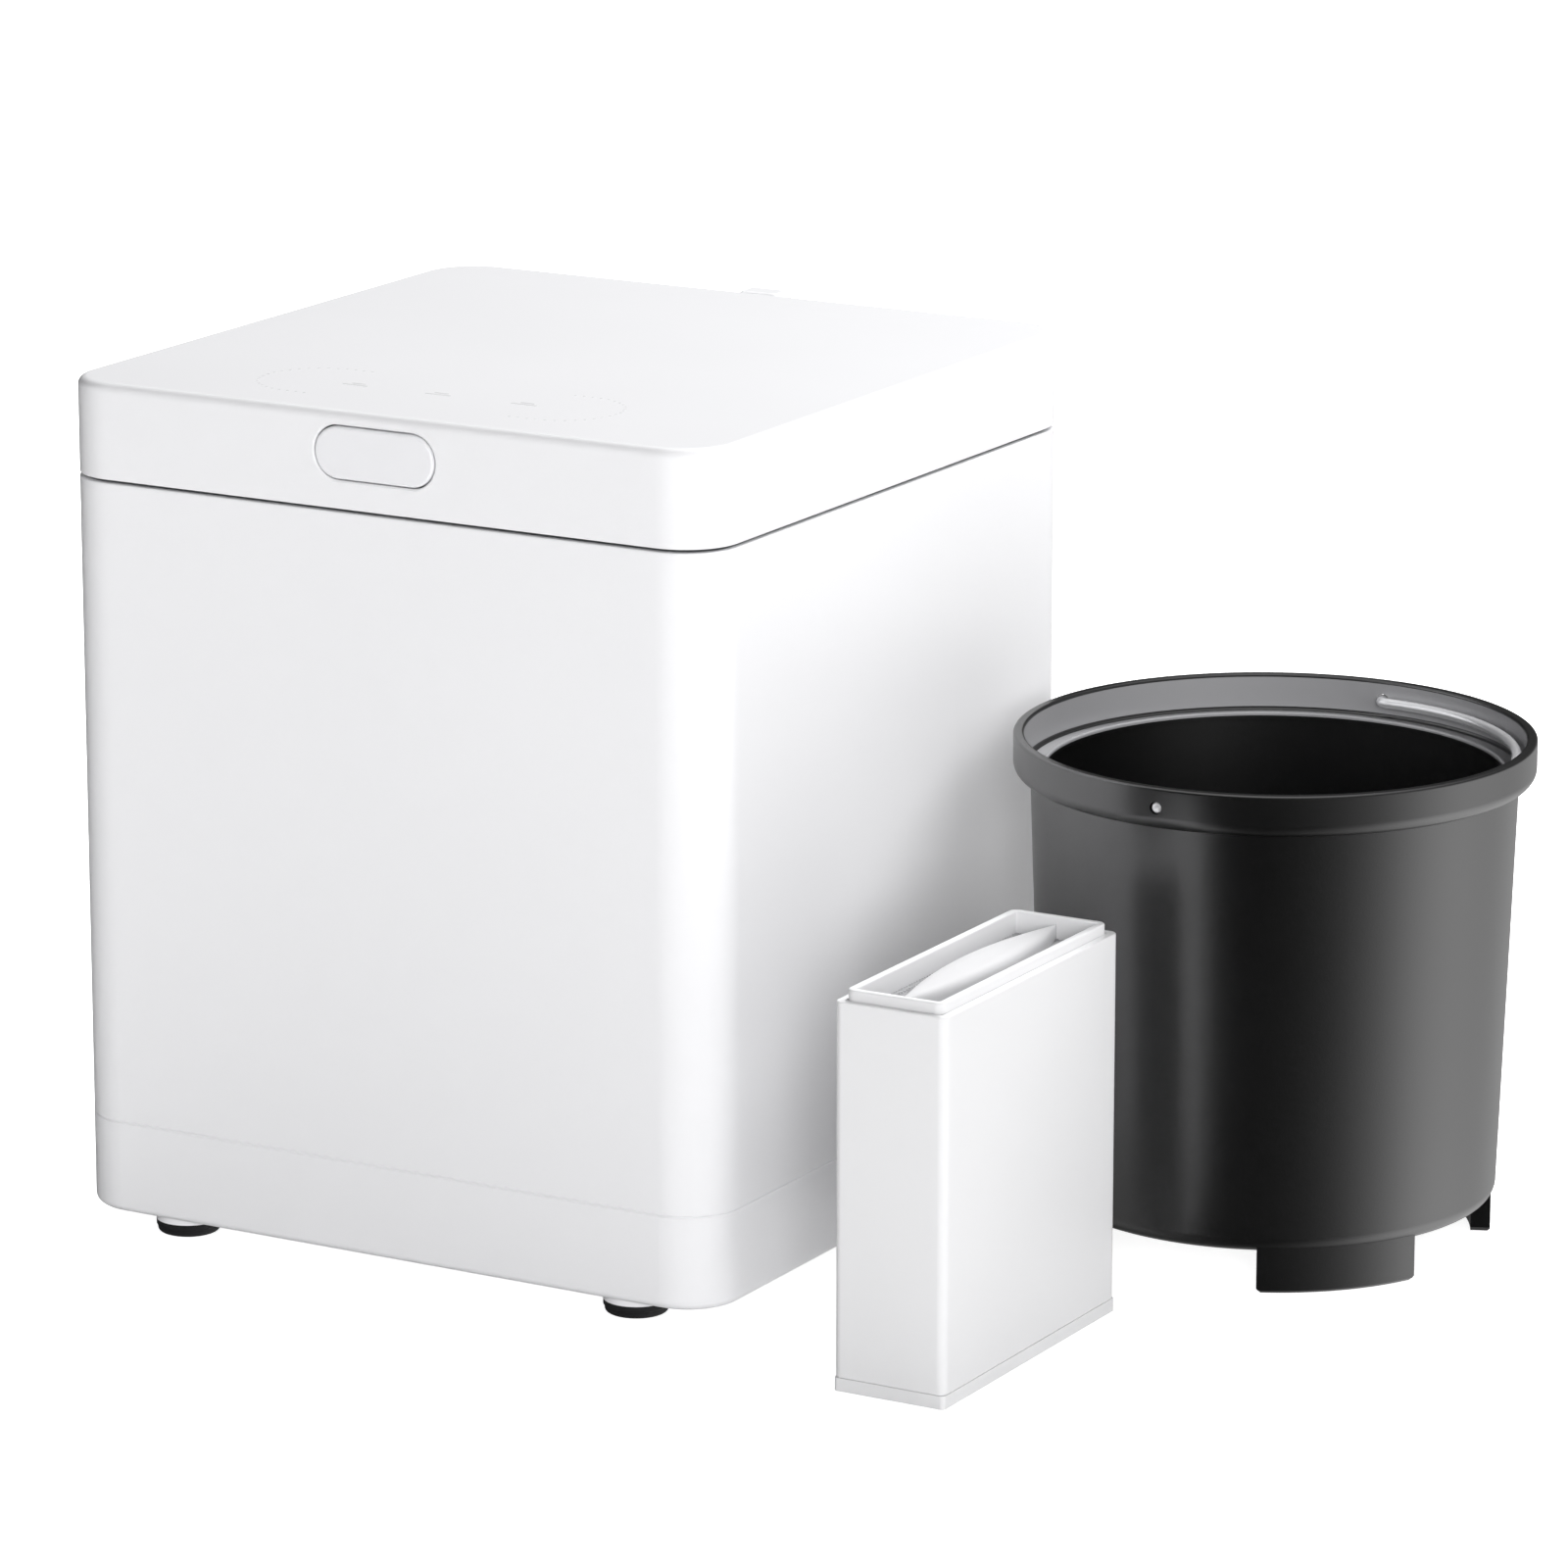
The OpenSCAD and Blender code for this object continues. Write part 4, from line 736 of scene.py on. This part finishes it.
class COMPOSTER_OT_lid(PieceOperator, bpy.types.Operator):
    """Lid cover: a cup-shaped profile carried round the outline, with the button's opening cut"""
    bl_idname = "composter.lid"
    bl_label = "Lid"

    def build(self):
        house = settings("composter_housing")
        path, at = housing_path()
        bottom = corners("lid_liner")[0][2] - LID_LIP
        top = corners("lid_cover")[1][2] - MARK_LIFT
        t, f, e, r = house.wall, house.seam_round, house.edge_round, LID_FILLET
        inner, core = top - t, house.corner_radius - CORE
        profile = chain(
            [core, inner], [t + r, inner], arc((t + r, inner - r), r, 90, 180, 4),
            arc((t - f, bottom + f), f, 0, -90, 4), arc((f, bottom + f), f, 270, 180, 4),
            arc((e, top - e), e, 180, 90, 10), [core, top])
        lid = solid("lid_skin", swept(supported(profile), path, at))
        button = middle("button_cap")
        flare = BUTTON_FLARE
        hole = chain([0, -CUT_REACH], [0, -flare], [-flare, 0], [-flare * 2, flare])
        edge = stadium(BUTTON_SIZE + 2 * BUTTON_GAP, 24)
        place = (button[0], corners("outer_shell")[0][1], button[2])
        carved(lid, [solid("cut_button", swept(hole, edge, place, "XZ"))])
        dress(lid, "white_shell", "lid", "lid_cover")
        self.hump(top)

    def hump(self, top):
        """Hinge hump: a profile carried round a small outline behind the lid, over a round knuckle
        on the pin."""
        pin = middle("hinge_pin")
        rear = corners("lid_cover")[1][1]
        depth = rear - corners("outer_shell")[1][1] + HUMP_OVERLAP
        sole = corners("lid_liner")[0][2]
        e = HUMP_ROUND
        profile = chain([HUMP_SOLE, sole], [0, sole], arc((e, top - e), e, 180, 90, 8),
                        [HUMP_CROWN, top])
        path = round_rect(HUMP_WIDTH, depth, e + CORE, 8)
        block = swept(supported(profile), path, (pin[0], rear - depth / 2, 0))
        half = np.array([HUMP_WIDTH / 2, 0, 0])
        knuckle = tube(np.linspace(pin - half, pin + half, 4), rear - pin[1], 48)
        dress(many("hinge_hump", [block, knuckle]), "white_shell", "lid")


class COMPOSTER_OT_button(PieceOperator, bpy.types.Operator):
    """Button cap: a profile with a soft outer edge carried round a stadium"""
    bl_idname = "composter.button"
    bl_label = "Button"

    def build(self):
        centre = middle("button_cap")
        front = -corners("button_cap")[0][1]
        back = front - BUTTON_DEPTH
        r, core = BUTTON_ROUND, BUTTON_SIZE[1] / 2 - BUTTON_CORE
        profile = chain([core, back], [0, back], arc((r, front - r), r, 180, 90, 8), [core, front])
        path = stadium(BUTTON_SIZE, 24)
        grid = swept(supported(profile), path, (centre[0], 0, centre[2]), "XZ")
        dress(solid("button_skin", grid), "white_button", "button", "button_cap")


class COMPOSTER_OT_spring(PieceOperator, bpy.types.Operator):
    """Button spring: a wire on a helix, riding on the button"""
    bl_idname = "composter.spring"
    bl_label = "Spring"

    def build(self):
        low, high = corners("button_spring")
        centre = (low + high) / 2
        wire = SPRING_WIRE
        coil = (high[0] - low[0]) / 2 - wire
        a = np.linspace(0, 2 * np.pi * SPRING_TURNS, 24 * SPRING_TURNS + 1)
        y = np.linspace(low[1] + wire, high[1] - wire, len(a))
        line = np.column_stack([centre[0] + coil * np.cos(a), y, centre[2] + coil * np.sin(a)])
        piece = solid("spring_wire", tube(line, wire, 10, (0, 1, 0)))
        dress(piece, "steel", "button", "button_spring")
        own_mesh(piece)


def stadium_spots(count, half, radius):
    """Evenly spaced points round a stadium. On the first half of the way round, a half turn about
    (-half, 0) comes before the straight side, and the second half is the first one turned round."""
    turn = np.pi * radius
    way = (np.arange(count) + 0.5) / count * 2 * (turn + 2 * half)
    back = way >= turn + 2 * half
    way = np.where(back, way - turn - 2 * half, way)
    angle = np.pi / 2 + np.minimum(way, turn) / radius
    x = -half + np.maximum(way - turn, 0) + radius * np.cos(angle)
    return np.column_stack([x, radius * np.sin(angle)]) * np.where(back, -1, 1)[:, None]


class COMPOSTER_OT_marks(PieceOperator, bpy.types.Operator):
    """Touch area on the lid: the dotted ends of a stadium on both sides of three plain marks"""
    bl_idname = "composter.marks"
    bl_label = "Touch Marks"

    def build(self):
        board = middle("touch_board")
        centre = np.array([board[0], board[1], corners("lid_cover")[1][2] - MARK_LIFT])
        spots = stadium_spots(settings("composter_housing").dots, TOUCH_HALF, TOUCH_RADIUS)
        spots = spots[np.abs(spots[:, 0]) > TOUCH_ENDS * TOUCH_HALF]
        dot = chain([DOT_RADIUS, 0], [DOT_RADIUS, MARK_HEIGHT])
        dots = [turned(dot, centre + np.array([x, y, 0]), 12) for x, y in spots]
        edge = chain([0, 0], [0, MARK_HEIGHT])
        bars = []
        for x in BAR_PLACES:
            for y, part in BAR_ROWS:
                path = stadium((BAR_LENGTH * part, BAR_WIDTH), 5)
                bars.append(swept(edge, path, centre + np.array([x, y, 0])))
        for name, grids in (("touch_dots", dots), ("touch_bars", bars)):
            dress(many(name, grids), "white_shell", "lid", material="marks")


class COMPOSTER_OT_feet(PieceOperator, bpy.types.Operator):
    """Rubber feet: pads turned from a profile with a rounded tread and a cup for the screw"""
    bl_idname = "composter.feet"
    bl_label = "Feet"

    def build(self):
        bore, neck, tread = 2.1 * MM, 0.5 * MM, 1.6 * MM
        flange_z, neck_z, cup_z = 3 * MM, 2.6 * MM, 4 * MM
        cup, lip = 5 * MM, 0.8 * MM
        for name in ("front_left", "front_right", "back_left", "back_right"):
            low, high = corners(f"foot_{name}")
            centre = (low + high) / 2
            r, h = (high[0] - low[0]) / 2, high[2]
            profile = chain(
                [bore, h], [r, h], [r, flange_z], [r - neck, neck_z],
                arc((r - neck - tread, tread), tread, 0, -90, 6),
                arc((cup + lip, lip), lip, 270, 180, 4), [cup, cup_z], [bore, cup_z])
            grid = turned(supported(profile, closed=True), (centre[0], centre[1], 0), 72)
            pad = solid(f"rubber_{name}", grid, closed_profile=True)
            dress(pad, "rubber", "housing", f"foot_{name}")


# Bucket


def bucket_axis():
    """Place of the bucket's axis on the floor."""
    centre = middle("bucket_collar")
    return np.array([centre[0], centre[1], 0])


class COMPOSTER_OT_bucket(PieceOperator, bpy.types.Operator):
    """Bucket: pot and collar turned from their profiles, with the holes for the wire"""
    bl_idname = "composter.bucket"
    bl_label = "Bucket"

    def build(self):
        bucket = settings("composter_bucket")
        axis = bucket_axis()
        self.pot(bucket, axis)
        self.collar(bucket, axis)

    def pot(self, bucket, axis):
        """Pot: floor, rounded foot and leaning wall, outside and then back down inside."""
        low, high = corners("bucket_pot")
        top_r = (high[0] - low[0]) / 2
        low_r = top_r - POT_TAPER
        z0, z1 = low[2], high[2]
        t, f = bucket.pot_wall, bucket.foot_round
        g = f - t
        profile = chain(
            [POT_HUB, z0], arc((low_r - f, z0 + f), f, -90, -POT_DRAFT, 10), [top_r, z1],
            [top_r - t, z1], arc((low_r - t - g, z0 + t + g), g, -POT_DRAFT, -90, 8),
            [POT_HUB, z0 + t])
        grid = turned(supported(profile, closed=True), axis)
        dress(solid("pot_skin", grid, closed_profile=True), "bucket_coat", "bucket", "bucket_pot")

    def collar(self, bucket, axis):
        """Collar: rounded outside, round rim, recess with a fillet, and ledge with a round lip."""
        low, high = corners("bucket_collar")
        r, wall, fillet = (high[0] - low[0]) / 2, bucket.rim_wall, 1 * MM
        z0, z1 = low[2], high[2]
        ledge = z1 - bucket.recess
        inner = r - wall - LEDGE_WIDTH
        big, e, lip = COLLAR_ROUND, RIM_ROUND, LEDGE_LIP
        profile = chain(
            [inner, z0], arc((r - big, z0 + big), big, -90, 0, 10),
            arc((r - e, z1 - e), e, 0, 90, 6), arc((r - wall + e, z1 - e), e, 90, 180, 6),
            arc((r - wall - fillet, ledge + fillet), fillet, 0, -90, 5),
            [inner + 2 * lip, ledge], arc((inner + lip, ledge), lip, 0, 180, 8))
        grid = turned(supported(profile, closed=True), axis)
        collar = solid("collar_skin", grid, closed_profile=True)
        pivot_z = corners("bail")[1][2] - (bucket.wire / 2 + WIRE_PLAY)
        cutters = []
        for side in (-1, 1):
            ends = [axis + np.array([0, side * (r + y), pivot_z]) for y in WIRE_CUT]
            cutters.append(rod(f"cut_wire_{side}", *ends, bucket.wire / 2 + WIRE_CLEARANCE))
        carved(collar, cutters)
        # The collar wears the coat with its painted reflection and painted shade
        dress(collar, "bucket_coat", "bucket", "bucket_collar", material="collar_coat")


class COMPOSTER_OT_bail(PieceOperator, bpy.types.Operator):
    """Bail: a half ring of wire with an elbow and a straight end through each side of the collar"""
    bl_idname = "composter.bail"
    bl_label = "Bail"

    def build(self):
        axis = bucket_axis()
        low, high = corners("bail")
        end = (high[1] - low[1]) / 2
        z = (low[2] + high[2]) / 2
        wire = settings("composter_bucket").wire / 2
        ring = high[0] - axis[0] - wire
        bend, dome = BAIL_BEND, BAIL_DOME
        t = np.radians(np.linspace(-90, 90, 97))[1:-1]
        half = np.column_stack([bend + (ring - bend) * np.cos(t), ring * np.sin(t)])
        elbow = arc((bend, -ring), bend, 180, 90, 8) - [0, bend]
        start = np.column_stack([np.zeros(6), np.linspace(-end + dome, elbow[0, 1], 7)[:-1]])
        first = np.vstack([start, elbow])
        line = np.vstack([first, half, (first * [1, -1])[::-1]])
        line = np.column_stack([line + axis[:2], np.full(len(line), z)])
        rings = tube(line, wire, 20)
        turn = np.radians(np.linspace(10, 80, 7))[:, None, None]
        shift = np.array([0, dome, 0])
        near = line[0] + (rings[0] - line[0]) * np.sin(turn) - shift * np.cos(turn)
        far = line[-1] + (rings[-1] - line[-1]) * np.sin(turn) + shift * np.cos(turn)
        grid = np.concatenate([near, rings, far[::-1]])
        dress(solid("bail_wire", grid), "wire", "bail", "bail")


# Filter cartridge


class COMPOSTER_OT_cartridge(PieceOperator, bpy.types.Operator):
    """Cartridge: case and top frame as profiles carried round their outlines, mesh and grip"""
    bl_idname = "composter.cartridge"
    bl_label = "Cartridge"

    def build(self):
        cell = settings("composter_filter")
        low, high = corners("filter_case")
        centre, size = (low + high) / 2, high - low
        at = (centre[0], centre[1], 0)
        path = round_rect(size[0], size[1], cell.edge + CASE_EDGE_EXTRA, 8)
        f, t, lip = CASE_ROUND, CASE_WALL, CASE_LIP
        seam, top = low[2], high[2]
        profile = chain(
            arc((f, seam + f), f, 270, 180, 4), arc((f, top - f), f, 180, 90, 4),
            [lip, top], [lip, top - t], [t, top - t], [t, seam])
        grid = swept(supported(profile, closed=True), path, at)
        piece = solid("case_skin", grid, closed_profile=True)
        dress(piece, "white_filter", "filter", "filter_case")
        self.top_frame(cell, at, size)
        self.mesh(cell, at)
        self.grip(at)

    def top_frame(self, cell, at, size):
        """Top frame: an upright rim with rounded edges, set in from the case all round."""
        top = corners("filter_frame")[1][2]
        floor = corners("filter_mesh")[0][2]
        path = round_rect(size[0] - 2 * FRAME_INSET, size[1] - 2 * FRAME_INSET, FRAME_CORNER, 8)
        t, e = cell.frame_wall, FRAME_ROUND
        profile = chain(
            [0, floor], arc((e, top - e), e, 180, 90, 5), arc((t - e, top - e), e, 90, 0, 5),
            [t, floor])
        grid = swept(supported(profile, closed=True), path, at)
        piece = solid("frame_skin", grid, closed_profile=True)
        dress(piece, "white_filter", "filter", "filter_frame")

    def mesh(self, cell, at):
        """Mesh: over a thin plate, height = clipped cosine of (y + slope * distance from the
        nearest fold), which falls to 0 at the folds. The folds run along y, two ridges apart."""
        low, high = corners("filter_mesh")
        nx, ny = MESH_POINTS
        x = np.linspace(low[0], high[0], nx)
        y = np.linspace(low[1], high[1], ny)
        fold = 2 * cell.ridge
        off_fold = np.abs((x - at[0]) / fold - np.round((x - at[0]) / fold))[:, None]
        phase = (y[None] + RIDGE_SLOPE * off_fold * fold) / cell.ridge * 2 * np.pi
        wave = np.clip(RIDGE_CLIP * np.cos(phase), -1, 1) * RIDGE_HEIGHT
        height = high[2] - RIDGE_HEIGHT + wave * np.minimum(1, off_fold * FOLD_FALL)
        flat = np.stack([*np.meshgrid(x, y, indexing="ij"), height], axis=2).reshape(-1, 3)
        under = flat.copy()
        under[:, 2] = low[2]
        index = np.arange(nx * ny).reshape(nx, ny)
        quads = np.stack([index[:-1, :-1], index[1:, :-1], index[1:, 1:], index[:-1, 1:]], axis=2)
        quads = quads.reshape(-1, 4)
        rim = np.concatenate([index[:, 0], index[-1, 1:], index[-2::-1, -1], index[0, -2:0:-1]])
        after = np.roll(rim, -1)
        sides = np.stack([rim, rim + nx * ny, after + nx * ny, after], axis=1)
        faces = [tuple(q) for q in np.vstack([quads, quads[:, ::-1] + nx * ny, sides])]
        piece = new_piece("herringbone_mesh", np.vstack([flat, under]), faces, MESH_ANGLE)
        dress(piece, "white_filter", "filter", "filter_mesh", material="filter_net")

    def grip(self, at):
        """Grip: half width w(y) between two arcs, height falling to the tips with the square of y,
        and soft upper edges from powers of cosine and sine."""
        low, high = corners("filter_grip")
        half = (high[1] - low[1]) / 2 - GRIP_MARGIN
        width = (high[0] - low[0]) / 2
        bow = (half ** 2 + width ** 2) / (2 * width)
        along, around = GRIP_POINTS
        y = half * np.sin(np.linspace(-np.pi / 2, np.pi / 2, along))[:, None]
        w = np.maximum(np.sqrt(bow ** 2 - y ** 2) - (bow - width), GRIP_TIP)
        height = high[2] - low[2] - GRIP_DROP * (y / half) ** 2
        v = np.radians(np.linspace(0, 180, around))[None]
        across = np.sign(np.cos(v)) * np.abs(np.cos(v)) ** GRIP_POWERS[0]
        crown = np.abs(np.sin(v)) ** GRIP_POWERS[1]
        arch = np.stack([w * across, np.broadcast_to(y, GRIP_POINTS), height * crown], axis=2)
        piece = solid("grip_skin", arch + np.array([at[0], at[1], low[2]]))
        dress(piece, "white_filter", "filter", "filter_grip", material="filter_grip")


class COMPOSTER_OT_stage(PieceOperator, bpy.types.Operator):
    """Pale floor, soft studio light from sky and soft boxes, and the camera of the photograph"""
    bl_idname = "composter.stage"
    bl_label = "Stage"

    def build(self):
        stage = settings("composter_stage")
        scene = bpy.context.scene
        scene.view_settings.view_transform = "Standard"
        scene.view_settings.look = "None"
        self.floor(stage)
        self.dome(stage)
        self.boxes(stage)
        camera = bpy.data.cameras.new("camera")
        camera.lens = stage.lens
        camera.sensor_width = 36.0
        camera.clip_end = 50.0
        holder = bpy.data.objects.new("camera", camera)
        scene.collection.objects.link(holder)
        holder.location = stage.camera_at
        holder.rotation_euler = (math.pi / 2 - stage.elevation, 0, stage.azimuth)
        scene.camera = holder

    def floor(self, stage):
        """White sweep: pale diffuse, with a little light of its own for the camera alone."""
        verts = [(sx * FLOOR_HALF, sy * FLOOR_HALF, -FLOOR_DROP)
                 for sx, sy in ((-1, -1), (1, -1), (1, 1), (-1, 1))]
        mesh = bpy.data.meshes.new("floor")
        mesh.from_pydata(verts, [], [(0, 1, 2, 3)])
        floor = bpy.data.objects.new("floor", mesh)
        floor.visible_glossy = False
        bpy.context.scene.collection.objects.link(floor)
        material = bpy.data.materials.new("pale_floor")
        material.use_nodes = True
        tree = material.node_tree
        shader = tree.nodes["Principled BSDF"]
        shader.inputs["Base Color"].default_value = (0.9, 0.9, 0.9, 1)
        shader.inputs["Roughness"].default_value = 0.7
        shader.inputs["Specular IOR Level"].default_value = 0.0
        shader.inputs["Emission Color"].default_value = (1, 1, 1, 1)
        camera_ray = tree.nodes.new("ShaderNodeLightPath").outputs["Is Camera Ray"]
        glow = maths(tree, "MULTIPLY", camera_ray, stage.floor_glow)
        tree.links.new(glow, shader.inputs["Emission Strength"])
        mesh.materials.append(material)

    def boxes(self, stage):
        """Round soft boxes, aimed at the machine's middle and left out of the reflections."""
        for name, place, size in BOXES:
            light = bpy.data.lights.new(name, "AREA")
            light.shape = "DISK"
            light.size = size
            light.energy = getattr(stage, name)
            holder = bpy.data.objects.new(name, light)
            bpy.context.scene.collection.objects.link(holder)
            holder.location = place
            holder.rotation_euler = (holder.location - AIM).to_track_quat("Z", "Y").to_euler()
            holder.visible_glossy = False
            holder.visible_camera = False

    def dome(self, stage):
        """Sky: white for the camera, and a sum of soft lobes for diffuse and for glossy rays."""
        world = bpy.data.worlds.new("studio")
        bpy.context.scene.world = world
        world.use_nodes = True
        tree = world.node_tree
        tree.nodes.clear()
        direction = tree.nodes.new("ShaderNodeTexCoord").outputs["Generated"]
        path = tree.nodes.new("ShaderNodeLightPath")
        shader = self.sky(tree, direction, stage, LOBES)
        for lobes, ray in ((SHINE, "Is Glossy Ray"), ((), "Is Camera Ray")):
            mix = tree.nodes.new("ShaderNodeMixShader")
            other = self.sky(tree, direction, stage, lobes)
            for socket, source in zip(mix.inputs, (path.outputs[ray], shader, other)):
                tree.links.new(source, socket)
            shader = mix.outputs[0]
        out = tree.nodes.new("ShaderNodeOutputWorld")
        tree.links.new(shader, out.inputs["Surface"])

    def sky(self, tree, direction, stage, lobes):
        """strength = sum of s * max(0, direction . aim) ** power, or 1 without lobes"""
        light = tree.nodes.new("ShaderNodeBackground")
        light.inputs["Color"].default_value = (1, 1, 1, 1)
        parts = []
        for name, aim, power in lobes:
            aim = Vector(aim).normalized()
            value = vectors(tree, "DOT_PRODUCT", direction, aim, output="Value")
            value = maths(tree, "POWER", maths(tree, "MAXIMUM", value, 0.0), power)
            parts.append(maths(tree, "MULTIPLY", value, getattr(stage, name)))
        if parts:
            tree.links.new(joined(tree, "ADD", parts), light.inputs["Strength"])
        return light.outputs[0]


GROUPS = {
    "composter_housing": ComposterHousing,
    "composter_bucket": ComposterBucket,
    "composter_filter": ComposterFilter,
    "composter_finish": ComposterFinish,
    "composter_stage": ComposterStage,
}
OPERATORS = (
    COMPOSTER_OT_finishes, COMPOSTER_OT_outer_shell, COMPOSTER_OT_lid, COMPOSTER_OT_button,
    COMPOSTER_OT_spring, COMPOSTER_OT_marks, COMPOSTER_OT_feet, COMPOSTER_OT_bucket,
    COMPOSTER_OT_bail, COMPOSTER_OT_cartridge, COMPOSTER_OT_stage,
)


class COMPOSTER_PT_panel(bpy.types.Panel):
    """Lists the operators in the order in which they build the composter"""
    bl_label = "Composter"
    bl_idname = "COMPOSTER_PT_panel"
    bl_space_type = "VIEW_3D"
    bl_region_type = "UI"
    bl_category = "Composter"

    def draw(self, context):
        for operator in OPERATORS:
            self.layout.operator(operator.bl_idname)


def register():
    for group in GROUPS.values():
        bpy.utils.register_class(group)
    for name, group in GROUPS.items():
        setattr(bpy.types.Scene, name, PointerProperty(type=group))
    for operator in OPERATORS:
        bpy.utils.register_class(operator)
    bpy.utils.register_class(COMPOSTER_PT_panel)


def unregister():
    bpy.utils.unregister_class(COMPOSTER_PT_panel)
    for operator in reversed(OPERATORS):
        bpy.utils.unregister_class(operator)
    for name, group in reversed(list(GROUPS.items())):
        delattr(bpy.types.Scene, name)
        bpy.utils.unregister_class(group)


def main():
    register()
    for operator in OPERATORS:
        group, name = operator.bl_idname.split(".")
        getattr(getattr(bpy.ops, group), name)()


if __name__ == "__main__":
    main()
